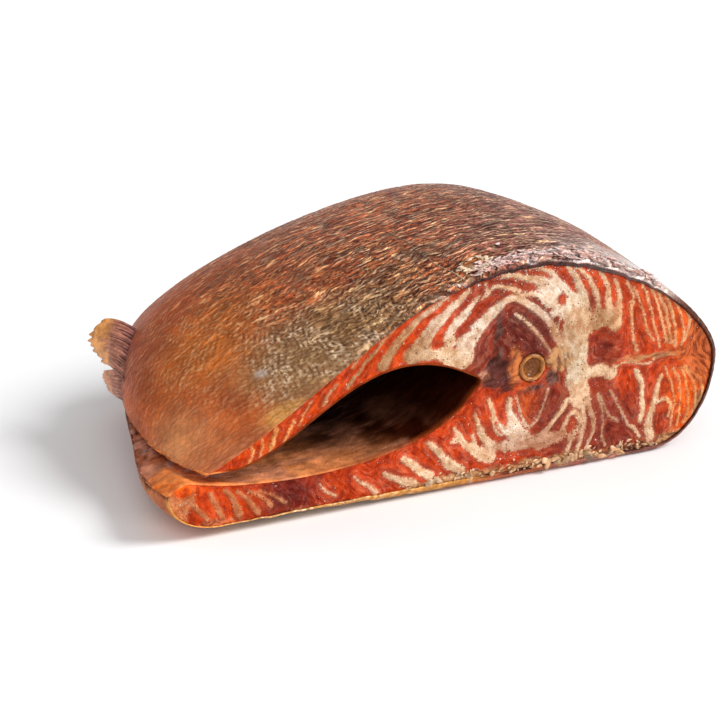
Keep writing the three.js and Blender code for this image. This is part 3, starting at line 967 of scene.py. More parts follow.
# Fat seams of the near cut: half width at the start and the end, then points [x, z].
SEAMS = [
    # the upper flap
    (0.3, 0.6, [(-52, 65.5), (-58, 60), (-64, 54), (-69, 48), (-72, 44.5)]),
    (0.5, 2.2, [(-35.5, 70.5), (-43, 66.5), (-50, 61), (-56, 55), (-59.3, 50.5)]),
    (0.7, 2.9, [(-27.5, 72), (-33, 67.5), (-39, 62.5), (-44, 57), (-48.5, 51.5)]),
    (0.4, 2.4, [(-23.5, 69.5), (-26.5, 66), (-30, 62.5), (-34, 58.5), (-35.5, 53.5)]),
    (0.3, 0.3, [(-21.5, 73.5), (-20.8, 70.5), (-22, 68.2)]),
    (0.3, 0.55, [(-91.7, 36), (-93.6, 32.2), (-95.6, 28)]),
    (0.5, 0.7, [(-97.6, 34), (-99.2, 29.8), (-101, 25)]),
    (0.2, 0.35, [(-102.8, 32), (-102.5, 29), (-104, 25)]),
    (0.35, 0.55, [(-106.8, 29.5), (-106.4, 27), (-107.5, 24)]),
    (0.15, 0.3, [(-85.2, 41.4), (-87.5, 38), (-89.8, 34.2)]),
    (0.25, 0.5, [(-76, 46.5), (-79.5, 42.8), (-81, 40)]),
    (0.2, 0.4, [(-60, 62), (-66, 56), (-70, 51)]),
    # the arcs over the backbone
    (1.3, 3.3, [(-15.5, 65), (-20, 61.5), (-24.5, 57.5), (-28, 53), (-30, 47.5)]),
    (0.8, 1.7, [(-15.5, 65), (-12, 66.6), (-8.5, 66.3), (-4.5, 63.8), (0, 60), (3.5, 56.5), (6.5, 52),
                (9.3, 47.5), (12, 43)]),
    (0.4, 0.7, [(-9.5, 61), (-6.5, 58.8), (-3, 55), (0, 51.5), (2.5, 48), (4.5, 45)]),
    (0.5, 0.8, [(-20.3, 69), (-19, 71), (-16, 71.6), (-12, 70.3), (-8.5, 68.6)]),
    (0.7, 1.3, [(-8, 67.3), (-4.5, 67.6), (-1, 66.5), (2, 63.5), (5, 60), (7, 57)]),
    (0.7, 2.1, [(-15, 75.3), (-11, 74.8), (-7, 73.3), (-3, 72), (1, 70.8), (4, 68.5), (7, 65), (9.5, 61)]),
    (1.2, 1.3, [(0, 69), (2.5, 66), (5, 63), (8, 60)]),
    (0.25, 1.0, [(-7, 77.4), (-2, 76.6), (1, 75.2), (4, 73.6), (6.3, 71)]),
    (1.2, 1.7, [(5, 70.5), (8, 69), (10.5, 66), (13, 63), (15.5, 59.5)]),
    # the arcs of the back
    (0.6, 1.6, [(9.5, 76.3), (11.5, 73.5), (13.5, 71), (15.5, 67), (17.5, 63), (18.5, 59)]),
    (0.5, 1.2, [(13.5, 75), (16, 72.8), (19, 69.5), (21, 65.5), (22.5, 61.5), (22.5, 57)]),
    (0.4, 1.3, [(21, 74.5), (23, 71.5), (25.5, 68.5), (27, 65.5), (27, 61), (27.5, 57)]),
    (0.5, 1.6, [(30, 67.5), (31.5, 64), (32, 60), (31.5, 56), (31, 52)]),
    (0.3, 0.3, [(34.5, 66.5), (36.5, 62), (38, 57.5)]),
    (0.5, 0.5, [(36.5, 58.5), (37.3, 53), (38, 48), (39, 43.5), (40, 40)]),
    (0.3, 0.35, [(37, 64), (40.3, 58), (42.3, 52), (44, 47), (46.5, 43)]),
    (0.35, 0.4, [(40.5, 64.8), (43, 59.5), (45, 54), (46.5, 49), (48.5, 43.5), (50, 40)]),
    (0.45, 0.5, [(44, 63.5), (47, 58), (49, 53), (51, 47), (52.5, 41.5)]),
    (0.5, 0.5, [(47, 62), (49.5, 57.5), (51.5, 52.5), (53.2, 46.5), (54.2, 40.5)]),
    (0.4, 0.5, [(51, 59.5), (52.5, 55), (54.5, 50), (55.8, 44.5), (56, 39.5)]),
    (0.3, 0.4, [(54, 57.5), (56.5, 53), (58.2, 48), (59, 43.5), (58.3, 39.5)]),
    (0.5, 0.7, [(56, 56.2), (59, 53.5), (61, 50), (61.2, 46), (59.5, 41.5)]),
    (0.25, 0.3, [(31, 36), (36, 36), (44, 34.5), (49, 36.5), (55, 36), (60, 37)]),
    # under the backbone
    (0.9, 1.7, [(-11, 30), (-10.8, 26), (-9.5, 22), (-7.5, 18.5), (-4.5, 16)]),
    (0.3, 0.3, [(-8.5, 31), (-7, 26.5), (-5.5, 22.5), (-4.5, 19.5)]),
    (0.3, 0.4, [(-5, 20.5), (-3, 18.8), (-0.5, 20.3), (1.5, 23), (3.5, 27), (4.5, 31)]),
    (1.0, 0.9, [(-4, 12), (0, 13.5), (4, 16), (7, 19.5), (10, 23), (12, 26)]),
    (0.8, 0.7, [(1, 9.5), (6, 10.6), (10, 13.5), (12, 16.5), (13, 19.5), (15, 20.7), (17, 18.5),
                (16.8, 14.5), (14, 10.5), (12.5, 7)]),
    (1.1, 0.8, [(16, 27), (18.5, 22), (19, 16), (18, 10.5), (16.5, 5.5)]),
    (1.0, 0.6, [(20, 28), (21.3, 22), (22.8, 16), (23, 11), (21, 6)]),
    (0.4, 0.4, [(24.5, 26), (26.3, 20.5), (27.3, 15), (27, 9.5), (28.5, 6)]),
    (0.3, 0.5, [(25.5, 25), (28, 20), (30.5, 16.5), (33.5, 14.5)]),
    (0.3, 0.6, [(29, 27), (33, 21.5), (35.5, 17), (37.5, 12.5), (41, 9.5), (43, 6.5)]),
    # the lower back
    (0.8, 1.1, [(40.5, 32), (42, 28), (43, 23), (43.5, 18), (43, 13)]),
    (0.8, 1.5, [(51.5, 28.5), (50, 25), (49, 20), (47.5, 15), (46.5, 10), (47, 6)]),
    (0.8, 0.5, [(49.5, 19), (53, 19.5), (55, 17), (54.5, 13)]),
    (0.25, 0.3, [(53, 31.5), (55.5, 25), (56.5, 19), (56.3, 12), (56, 7.5)]),
    (0.35, 0.45, [(56, 31), (58.5, 25), (59.5, 19), (59.5, 13), (58.8, 8)]),
    (0.4, 0.45, [(58.5, 31), (61.5, 25.5), (62.8, 19.5), (63, 13.5), (61.5, 9)]),
    (0.4, 0.45, [(60, 31), (64.5, 25), (66, 19.5), (65.8, 14), (64, 10)]),
    (0.5, 0.6, [(61, 31), (66.5, 25.5), (68.7, 20), (68.5, 15), (66.5, 11)]),
    # the lower flap
    (0.7, 2.0, [(-31.5, 22.5), (-30, 19), (-27, 15.5), (-23, 12), (-18, 9.5)]),
    (0.6, 0.9, [(-33.3, 18), (-31, 18.3)]),
    (0.9, 1.8, [(-41.7, 19), (-39, 16), (-36, 12.5), (-33, 9), (-30, 7)]),
    (1.1, 1.6, [(-51.5, 15), (-48.5, 12.5), (-45, 9.5), (-41, 7)]),
    (0.7, 1.5, [(-58.5, 11), (-55.5, 9), (-52, 7), (-48, 5.5)]),
    (0.3, 0.7, [(-70, 12), (-67.5, 9.5), (-64.5, 7.5), (-61.5, 4.5)]),
    (0.2, 0.4, [(-82.5, 11.5), (-80, 8.5), (-77, 6)]),
    (0.4, 1.7, [(-24.5, 27), (-23.5, 23.5), (-22, 20), (-20, 16.5), (-17.5, 13.5)]),
    (0.5, 0.6, [(-24.5, 18.8), (-23.3, 14.5), (-20.5, 12.8)]),
    (0.8, 0.7, [(-19, 30.5), (-17.5, 27), (-17, 23.5), (-14.5, 20.5), (-12.5, 18)]),
    (0.3, 0.5, [(-18.5, 24.5), (-17, 20.5), (-14.5, 17.5)]),
    (0.8, 0.8, [(-128.5, 15), (-126, 10.5), (-123, 7)]),
    (0.8, 1.1, [(-121.5, 15.5), (-119.5, 11), (-117.5, 6.5)]),
    (0.7, 1.2, [(-116, 15.5), (-113.5, 11.5), (-111.5, 6)]),
    (0.6, 0.9, [(-112, 14.5), (-108.5, 11), (-105, 6)]),
    (0.5, 0.8, [(-108, 14), (-103.5, 11), (-100, 7)]),
    (0.3, 0.4, [(-104, 13.5), (-99, 10.5), (-95, 7)]),
]
# Pools of fat [x, z, half width, half height], and scraps of muscle left inside them.
POOLS = [
    (14, 53, 7, 7.5), (14.5, 44, 5, 7), (16, 34, 4.5, 7), (17, 27, 3.6, 5), (29.7, 53.5, 3.2, 4.5),
    (23, 54, 4.5, 3.5), (-42, 52, 6, 2.6), (-33, 51, 5.5, 4.4), (-31, 47.5, 5, 2.6), (-9.5, 19, 2.8, 4.5),
    (-2, 12.5, 14, 2.6), (24, 35, 4.5, 2.4), (29.5, 33.3, 2.4, 2.0), (-132, 17, 4.5, 6.5),
    (-132.5, 9, 3.0, 6), (14, 61, 3.5, 3.5),
]
SCRAPS = [
    (-28, 58, 1.6, 1.2), (-32, 55, 0.6, 1.2), (-39, 54.5, 3.0, 1.8), (8.6, 63.6, 1.9, 2.4),
    (3.7, 61, 1.2, 1.0), (6.8, 56.5, 0.8, 1.6), (9, 53.5, 0.9, 3.0), (-23, 47.5, 2.6, 5.5),
    (15.7, 16.5, 1.3, 2.0), (-16.5, 22, 0.8, 1.0), (21.5, 59, 0.6, 3.0), (-130.5, 18.5, 3.2, 3.0),
    (-32.3, 52.2, 0.9, 0.7), (12.4, 28, 0.7, 1.2),
]
# Soft zones of the muscle [x, z, reach, reach, strength, tone].
MEAT_ZONES = [
    (-75, 48, 26, 10, 1, "ember"), (-105, 27, 18, 7, 1, "ember"), (-45, 64, 16, 9, 1, "ember"),
    (-25, 70, 9, 6, 0.9, "umber"), (-10, 75, 14, 5, 0.9, "umber"), (8, 75, 10, 4, 0.9, "coral"),
    (-14, 68, 6, 4, 0.8, "rust"), (-7, 55, 10, 10, 1.4, "wine"), (-1, 62, 5, 4, 0.8, "rust"),
    (0, 50, 6, 7, 0.9, "wine"), (25, 71, 12, 6, 0.9, "ember"), (45, 55, 14, 12, 0.9, "coral"),
    (58, 49, 5, 9, 1.2, "flame"), (28, 43, 7, 5, 1.2, "rosewood"), (38, 42, 7, 8, 0.8, "coral"),
    (20, 62, 3, 6, 0.8, "rust"), (5, 24, 8, 8, 1.2, "rosewood"), (-4, 28, 4, 6, 1.0, "amber"),
    (-16, 26, 8, 8, 0.8, "coral"), (30, 18, 10, 10, 1, "rosewood"), (36, 30, 5, 5, 1, "ember"),
    (30, 8, 12, 5, 0.9, "rosewood"), (48, 25, 8, 10, 0.8, "coral"), (52, 11, 7, 5, 1, "rust"),
    (62, 20, 7, 12, 1.4, "flame"), (-40, 20, 14, 8, 0.9, "coral"), (-62, 12, 16, 7, 0.9, "coral"),
    (-95, 10, 9, 7, 1.3, "mauve"), (-116, 11, 12, 7, 1.2, "ember"), (-130.5, 18.5, 4, 4, 1.6, "flame"),
    (12, 7, 8, 4, 0.9, "rosewood"), (-28, 57, 5, 5, 0.8, "rust"), (-22, 47, 4, 7, 1.3, "clay"),
]
FAT_ZONES = [
    (-22, 58, 9, 7, 1.2, "ivory"), (-36, 62, 8, 5, 0.6, "ivory"), (-50, 55, 9, 8, 1, "hazel"),
    (-40, 51, 8, 4, 1, "custard"), (5, 64, 7, 6, 1.2, "ivory"), (13, 63, 5, 4, 1, "butter"),
    (14, 40, 6, 6, 1.6, "butter"), (15, 53, 8, 7, 1, "sand"), (24, 53, 5, 4, 1.4, "hazel"),
    (-9, 20, 5, 6, 1, "ivory"), (-2, 12, 14, 4, 1, "dusk"), (2, 49, 5, 6, 1.2, "dusk"),
    (46, 52, 12, 12, 0.8, "peach"), (56, 46, 5, 10, 1, "peach"), (62, 20, 8, 12, 1.2, "apricot"),
    (43, 24, 5, 10, 1, "custard"), (48, 12, 5, 8, 1, "custard"), (-85, 30, 40, 8, 1.3, "apricot"),
    (-112, 12, 16, 8, 1.8, "honey"), (-132, 12, 6, 12, 2.2, "honey"), (-35, 12, 25, 8, 0.8, "custard"),
    (-66, 52, 15, 11, 1.8, "hazel"), (30, 16, 8, 8, 0.8, "dusk"), (0, 26, 5, 6, 1.0, "dusk"),
]
# Stains over both [x, z, half width, half height, tone].
STAINS = [
    (-16.4, 42.6, 4.4, 3.4, "clot"), (-18.2, 37.4, 4.6, 2.6, "clot"), (-9.3, 41.5, 2.8, 6.6, "honey"),
    (6.0, 35.6, 3.2, 2.6, "slate"), (-1.5, 32.6, 4.0, 1.2, "slate"), (8.5, 42, 5.5, 4.6, "hazel"),
    (-21, 39.5, 3.0, 2.4, "dusk"), (57, 4.0, 9, 2.4, "curd"), (67.5, 13, 2.4, 7, "curd"),
    (69, 37, 8.5, 14, "caramel"), (62, 36.5, 6.5, 3.4, "syrup"), (46, 37, 11, 0.9, "hazel"),
    (-16, 56, 1.1, 7.5, "slate"), (-60, 1.2, 12, 1.7, "shell"), (-30, 2.8, 22, 3.0, "curd"),
    (8, 2.6, 22, 3.4, "curd"), (40, 2.2, 14, 2.2, "crust"), (-92, 2.0, 26, 1.6, "shell"),
    (-124, 4.4, 10, 1.6, "shell"), (-12.9, 40.2, 2.6, 5.2, "clot"), (-12.4, 34.6, 3.0, 1.7, "clot"),
    (-14.8, 46.8, 1.5, 2.6, "slate"),
]


def to_seam(x, z, points, start, end):
    """Depth inside a seam, positive within its width."""
    best = np.full(x.shape, 1e9)
    n = len(points) - 1
    for i in range(n):
        a, b = points[i], points[i + 1]
        d = b - a
        t = np.clip(((x - a[0]) * d[0] + (z - a[1]) * d[1]) / max(d @ d, 1e-9), 0, 1)
        width = start + (end - start) * (i + t) / n
        best = np.minimum(best, np.hypot(x - a[0] - t * d[0], z - a[1] - t * d[1]) - width)
    return -best


def in_pool(x, z, pool):
    cx, cz, rx, rz = pool[:4]
    return (1 - np.hypot((x - cx) / rx, (z - cz) / rz)) * min(rx, rz)


def joined_depth(a, b, soft):
    h = np.clip(0.5 + 0.5 * (a - b) / soft, 0, 1)
    return a * h + b * (1 - h) + soft * h * (1 - h)


def fat_depth(x, z):
    """How deep in fat each place of the cut is, negative in muscle."""
    wx = x + 0.55 * fractal(x, z, 4.5, 3, 3)
    wz = z + 0.55 * fractal(x, z, 4.5, 3, 4)
    depth = np.full(np.shape(x), -9.0)
    for start, end, points in SEAMS:
        line = catmull(points, 4 * len(points))
        low, high = line.min(0) - 10, line.max(0) + 10
        near = (wx > low[0]) & (wx < high[0]) & (wz > low[1]) & (wz < high[1])
        if near.any():
            depth[near] = joined_depth(depth[near], to_seam(wx[near], wz[near], line, start, end), 0.8)
    for pool in POOLS:
        depth = joined_depth(depth, in_pool(wx, wz, pool) * 0.9, 1.6)
    for scrap in SCRAPS:
        depth = -joined_depth(-depth, in_pool(wx, wz, scrap), 0.6)
    return depth


def stain_cover(x, z):
    x, z = x + 1.6 * fractal(x, z, 4.0, 3, 5), z + 1.6 * fractal(x, z, 4.0, 3, 6)
    cover = np.full(np.shape(x), -6.0)
    total = np.full(np.shape(x), 1e-6)
    colour_sum = total[..., None] * linear(TONES["curd"])
    for stain in STAINS:
        depth = in_pool(x, z, stain)
        cover = np.maximum(cover, depth)
        weight = np.exp(2.0 * np.clip(depth, -6, 2))
        colour_sum = colour_sum + weight[..., None] * linear(TONES[stain[4]])
        total = total + weight
    return cover, colour_sum / total[..., None]


def cut_loop(y, sizes):
    """The flesh's outline at y, as a closed line that runs by the skin and back by the cavity."""
    skin, cavity = skin_line(y / LENGTH), lining_line(y / LENGTH)
    arc = arc_along(skin)
    deep = float(between(min(y, LENGTH - y), 1.0, 7.0))
    inset = edge_roll(np.clip(y, 0, LENGTH), arc) + 0.8 * skin_thickness(arc, sizes) + 1.1 * deep
    skin = skin - side_of(skin) * inset[:, None]
    return np.concatenate([skin[::-1], cavity + side_of(cavity) * 0.8 * deep])


def crossings(loop, z):
    """Where a closed loop crosses the level z, as values of x."""
    a, b = loop, np.roll(loop, -1, axis=0)
    crosses = (a[:, 1] <= z) != (b[:, 1] <= z)
    t = (z - a[crosses, 1]) / (b[crosses, 1] - a[crosses, 1])
    return a[crosses, 0] + t * (b[crosses, 0] - a[crosses, 0])


def take_in(cells):
    """Adds the neighbours of every marked cell."""
    cells[1:] |= cells[:-1]
    cells[:-1] |= cells[1:]
    cells[:, 1:] |= cells[:, :-1]
    cells[:, :-1] |= cells[:, 1:]


def cells_inside(loop, step):
    """Which square cells of a grid lie in the loop, and the grid's corner."""
    low = loop.min(0) - 2 * step
    count = ((loop.max(0) - low) / step).astype(int) + 3
    xs = low[0] + (np.arange(count[0]) + 0.5) * step
    inside = np.zeros(count, dtype=bool)
    for j in range(count[1]):
        at = np.sort(crossings(loop, low[1] + (j + 0.5) * step))
        inside[:, j] = np.searchsorted(at, xs) % 2 == 1
    # Cells that touch only at a corner are joined by one more.
    one, two, three, four = inside[:-1, :-1], inside[1:, 1:], inside[1:, :-1], inside[:-1, 1:]
    for _ in range(2):
        three |= one & two & ~three & ~four
        one |= three & four & ~one & ~two
    # Only the part round the backbone is kept.
    part = np.zeros_like(inside)
    seed = np.floor((np.array([BONE[0] + 20, BONE[1]]) - low) / step).astype(int)
    part[tuple(seed)] = inside[tuple(seed)]
    size = 0
    while part.sum() > size:
        size = part.sum()
        take_in(part)
        part &= inside
    return part, low


def rim_of_cells(inside):
    """The corners round the cells in order, so that the cells lie on the left."""
    i, j = np.nonzero(inside)
    edges = {}
    wide = np.pad(inside, 1)
    corners = ((0, 0), (1, 0), (1, 1), (0, 1))
    for k, (di, dj) in enumerate(((0, -1), (1, 0), (0, 1), (-1, 0))):
        a, b = corners[k], corners[(k + 1) % 4]
        bare = ~wide[i + 1 + di, j + 1 + dj]
        for p, q in zip(i[bare], j[bare]):
            edges[(p + a[0], q + a[1])] = (p + b[0], q + b[1])
    start = min(edges)
    walk = [start]
    while edges[walk[-1]] != start:
        walk.append(edges[walk[-1]])
    if len(walk) != len(edges):
        raise RuntimeError("the cut is in more than one part")
    return np.array(walk)


def along_loop(points, loop):
    """Place along the closed loop nearest to each point, in the loop's own numbering."""
    a, b = loop, np.roll(loop, -1, axis=0)
    d = b - a
    t = np.clip(((points[:, None] - a) * d).sum(-1) / np.maximum((d * d).sum(-1), 1e-12), 0, 1)
    gap = ((points[:, None] - a - t[..., None] * d) ** 2).sum(-1)
    best = gap.argmin(1)
    return best + t[np.arange(len(points)), best]


def cut_face(loop, step):
    """Square cells over a closed loop, their outer corners drawn onto it.

    Gives the corners, the quads, and the rim's corner numbers with their places along the loop.
    """
    inside, low = cells_inside(loop, step)
    rim = rim_of_cells(inside)
    used = np.zeros((inside.shape[0] + 1, inside.shape[1] + 1), dtype=bool)
    for di in (0, 1):
        for dj in (0, 1):
            used[di : di + inside.shape[0], dj : dj + inside.shape[1]] |= inside
    sides = (low[k] + np.arange(used.shape[k]) * step for k in (0, 1))
    grid = np.stack(np.meshgrid(*sides, indexing="ij"), axis=-1)
    place = along_loop(grid[rim[:, 0], rim[:, 1]], loop)
    turn = int(place.argmin())
    rim, place = np.roll(rim, -turn, axis=0), np.roll(place, -turn)
    late = len(place) // 4
    place[-late:] = np.where(place[-late:] < len(loop) / 2, len(loop) - 0.01, place[-late:])
    place = np.maximum.accumulate(place)
    for _ in range(3):
        place[1:-1] = 0.5 * place[1:-1] + 0.25 * (place[:-2] + place[2:])
    closed = np.concatenate([loop, loop[:1]])
    grid[rim[:, 0], rim[:, 1]] = pick(closed, place)
    fixed = np.zeros_like(used)
    fixed[rim[:, 0], rim[:, 1]] = True
    near = fixed.copy()
    for _ in range(3):
        take_in(near)
    i, j = np.nonzero(near & used & ~fixed)
    for _ in range(8):
        around = grid[i + 1, j] + grid[i - 1, j] + grid[i, j + 1] + grid[i, j - 1]
        grid[i, j] = 0.5 * grid[i, j] + 0.125 * around
    number = np.cumsum(used.ravel()).reshape(used.shape) - 1
    p, q = np.nonzero(inside)
    quads = np.stack([number[p, q], number[p + 1, q], number[p + 1, q + 1], number[p, q + 1]], axis=1)
    return grid[used], quads, number[rim[:, 0], rim[:, 1]], place


def cut_relief(x, z, depth, cover, sizes):
    """How far the cut stands back from its plane, in mm; less than nothing is proud."""
    r = np.hypot(x - BONE[0], z - BONE[1])
    back = 0.7 * FLAKE_RELIEF * np.cos(2 * math.pi * r / FLAKE_PITCH + x / 23)
    back = back - 1000 * sizes.seam_relief * (between(depth, -0.5, 0.7) - 0.3)
    back = back + 0.16 * fractal(x, z, 3.2, 3, 61) + 0.10 * noise(x, z, 1.1, 62)
    back = back - 0.35 * between(cover, -0.5, 1.5) * between(-z, -10, -6)
    # The clots on either side of the backbone lie deep, and the backbone has a socket.
    back = back + 1.1 * between(in_pool(x, z, STAINS[0]), -0.6, 2.2)
    back = back + 0.5 * between(in_pool(x, z, STAINS[3]), -0.5, 1.6)
    return back + 6.0 * between(-r, -5.1, -4.5)


# How far each cut's flesh is behind its plane, the rows of the wall between them, and how much
# larger the near cut is than the far one, across and up.
CUT_SET_BACK = 0.25
WALL_ROWS = (1.0, 2.5, 6.5, 15, 30, 48, 66, 84, 102, LENGTH - 6.5, LENGTH - 2.5, LENGTH - 1.0)
NEAR_TO_FAR = (1.2, 1.08)


def rise_of(flat, depth, cover, rim, sizes):
    """The relief of a cut, calmed towards its rim."""
    rim_distance, edge, block = np.full(len(flat), 9.0), flat[rim][None, ::3, :], 4000
    for start in range(0, len(flat), block):
        part = slice(start, start + block)
        rim_distance[part] = np.sqrt(((flat[part][:, None, :] - edge) ** 2).sum(-1).min(1))
    return cut_relief(flat[:, 0], flat[:, 1], depth, cover, sizes) * between(rim_distance, 0, 2.2)


def build_flesh(sizes, material):
    near_loop, far_loop = cut_loop(0.0, sizes), cut_loop(LENGTH, sizes)
    near, near_quads, near_rim, near_place = cut_face(near_loop, 1000 * sizes.cut_step)
    far, far_quads, far_rim, far_place = cut_face(far_loop, 1000 * sizes.far_cut_step)

    # The far cut shows the same muscle, drawn in to its smaller outline.
    like_near = np.array(BONE) + (far - BONE) * np.array(NEAR_TO_FAR)
    cuts = []
    for x, z in (near.T, like_near.T):
        depth = fat_depth(x, z)
        cover, stain = stain_cover(x, z)
        meat = blend(x, z, "brick", MEAT_ZONES, TONES, 0.6)
        fat = blend(x, z, "cream", FAT_ZONES, TONES, 0.6)
        cuts.append({"seam": depth, "cover": cover, "stain": stain, "meat": meat, "fat": fat})
    near_rise = rise_of(near, cuts[0]["seam"], cuts[0]["cover"], near_rim, sizes)
    far_rise = rise_of(far, cuts[1]["seam"], cuts[1]["cover"], far_rim, sizes)

    places = [np.stack([near[:, 0], CUT_SET_BACK + near_rise, near[:, 1]], axis=1)]
    faces = near_quads.tolist()
    before, count, total = near_rim, len(near_rim), len(near)
    following = np.roll(np.arange(count), -1)
    for y in WALL_ROWS:
        loop = cut_loop(y, sizes)
        ring = pick(np.concatenate([loop, loop[:1]]), near_place)
        places.append(np.stack([ring[:, 0], np.full(count, y), ring[:, 1]], axis=1))
        now = total + np.arange(count)
        faces += np.stack([before, now, now[following], before[following]], axis=1).tolist()
        before, total = now, total + count
    places.append(np.stack([far[:, 0], LENGTH - CUT_SET_BACK - far_rise, far[:, 1]], axis=1))
    faces += (far_quads + total)[:, ::-1].tolist()

    # The last wall row and the far rim have different numbers of points.
    ends = [(np.append(line, line[0]).tolist(), np.append(place, place[0] + len(near_loop)))
            for line, place in ((before, near_place), (far_rim + total, far_place))]
    strip = zip_lines(ends[0][0], ends[1][0], ends[0][1], ends[1][1])
    faces += [(c, b, a) for a, b, c in strip]

    layers = {}
    for name, values in cuts[0].items():
        wall = [values[near_rim]] * len(WALL_ROWS)
        layers[name] = np.concatenate([values, *wall, cuts[1][name]])
    mesh = mesh_of("flesh", np.concatenate(places), faces, layers)
    show("flesh", mesh, material, "fish_piece")


# ---- Lining of the cavity ------------------------------------------------------------------

LINING_TONES = {
    "soot": (58, 20, 8), "smoke": (196, 130, 98), "liver": (255, 158, 96), "membrane": (206, 120, 84),
    "blush": (200, 138, 116), "peach": (246, 146, 80), "rust": (160, 70, 30), "ember": (236, 110, 40),
    "pearl": (232, 206, 196),
}
# The lining's rim at the near cut, [y, share of half its thickness], and its hidden rows.
LINING_RIM = [(0.05, -0.9), (-0.12, 0.0), (0.1, 0.75)]
LINING_HIDDEN = (LENGTH - 1, 90, 60, 30, 1.0)


def lining_layers(a, y, fold, end):
    """Tone and wetness of the lining by row and column; end is its length round."""
    # Shares of the way round: the roof, the keel by the backbone, and the floor.
    low = a > end * 0.56
    to_slit = np.where(low, end - a, a)
    floor = low * between(a, end * 0.6, end * 0.75)
    tone = np.empty(a.shape + (3,))
    tone[:] = linear(LINING_TONES["soot"])
    mix = lambda share, name: towards(tone, share, LINING_TONES[name])
    smoky = between(noise(a, y, 9, 74) + 0.6 * fold, -0.4, 0.9)
    tone += mix(0.9 * floor * smoky * fade(y, 30, 75), "smoke")
    by_cut = fade(y + 5 * noise(a, y, 8, 77), 4, 26)
    tone += mix(0.85 * floor * fade(to_slit, 48, 84) * by_cut, "liver")
    tone += mix(0.6 * fade(y, 0.5, 3.0), "rust")
    near = fade(y + 4 * noise(a, y, 9, 78), 8, 34)
    tone += mix(low * fade(to_slit, 34, 66) * fade(y, 26, 60), "liver")
    tone += mix(low * fade(to_slit, 14, 38), "membrane")
    tone += mix(0.9 * low * fade(to_slit, 6, 18) * between(noise(a, y, 6, 75), -0.6, 0.4), "blush")
    tone += mix(low * fade(to_slit, 10, 46) * near, "peach")
    streaks = creases(y - 0.2 * a, a, 3.2, 14, 79) * low * fade(to_slit, 16, 34) * near
    tone += mix(0.8 * between(streaks, 0.1, 0.7), "ember")
    pale = creases(a, y + 0.5 * a, 9, 2.6, 80) * low * fade(to_slit, 10, 22)
    pale = pale * between(y, 22, 40) * fade(y, 60, 80)
    tone += mix(0.45 * between(pale, 0.2, 0.8), "pearl")
    tone += mix((~low) * fade(to_slit, 4, 14), "peach")
    dark = creases(a + 0.3 * y, y, 7, 3.0, 83) * low * fade(to_slit, 16, 26) * between(y, 20, 34)
    tone += mix(0.6 * between(dark, 0.2, 0.8), "soot")
    milky = low * between(to_slit, 10, 20) * fade(to_slit, 44, 60)
    milky = milky * between(fractal(a, y, 7, 2, 85), 0.05, 0.4) * fade(y, 20, 40)
    tone += mix(0.5 * milky, "blush")
    tone *= (1 + 0.3 * fractal(a, y, 5, 3, 76))[..., None]
    # Patches of wetness: they set the coat, and the finish paints highlight specks in them.
    wet_glints = between(fractal(a, y, 6, 2, 84), -0.1, 0.4)
    wet = 0.02 + 0.35 * low * fade(to_slit, 20, 44) * fade(y, 40, 70) * wet_glints
    return {"tone": by_column(np.clip(tone, 0, 1)), "wet": by_column(wet)}


def build_lining(sizes, material):
    mid = lining_line(0.5)
    arc_of = run_length(mid)
    end, step = arc_of[-1], 1000 * sizes.lining_step
    arc = np.linspace(0, end, int(end / step) + 1)
    columns = np.interp(arc, arc_of, np.arange(len(mid)))
    ys = np.arange(0.7, LENGTH - 0.6, step)
    rows, outer = rows_of(LINING_RIM, ys, 1.0, LINING_HIDDEN, -1.0)
    a, y = np.broadcast_arrays(arc[None, :], rows[:, :1])
    fold = creases(a + 0.3 * y, y + 0.12 * a, 16, 3.4, 71)
    height = 0.5 * fractal(a, y, 15, 2, 72) + 0.3 * fractal(a, y, 4, 2, 73) - 0.45 * fold
    height = np.maximum(height, -0.6) * (rows[:, 1:] == 1.0)
    height *= between(np.minimum(y, LENGTH - y), 1.0, 7.0)
    rise = height + rows[:, 1:] * (500 * sizes.lining)
    places, faces = shell(lining_line, columns, rows[:, 0], outer, rise, -1)
    mesh = mesh_of("belly_lining", places, faces, lining_layers(a, y, fold, end))
    show("belly_lining", mesh, material)


# ---- Backbone ------------------------------------------------------------------------------

BONE_TONES = {
    "amber": (120, 66, 22), "honey": (146, 82, 26), "bark": (70, 34, 10), "pale": (190, 124, 62),
    "ash": (120, 66, 34),
}
# A dished end from its middle out, [radius, y], the rod's hidden rows, and points round the bone.
BONE_END = [
    (0.0, 1.9), (0.6, 1.85), (1.2, 1.75), (1.7, 1.5), (2.1, 1.45), (2.6, 1.1), (3.0, 0.9), (3.35, 0.45),
    (3.6, -0.15), (3.9, -0.55), (4.3, -0.68), (4.65, -0.55), (4.95, -0.25), (5.15, 0.2), (5.2, 1.0),
]
BONE_ROD = [(5.2, 40.0), (5.2, 80.0)]
BONE_AROUND = 72


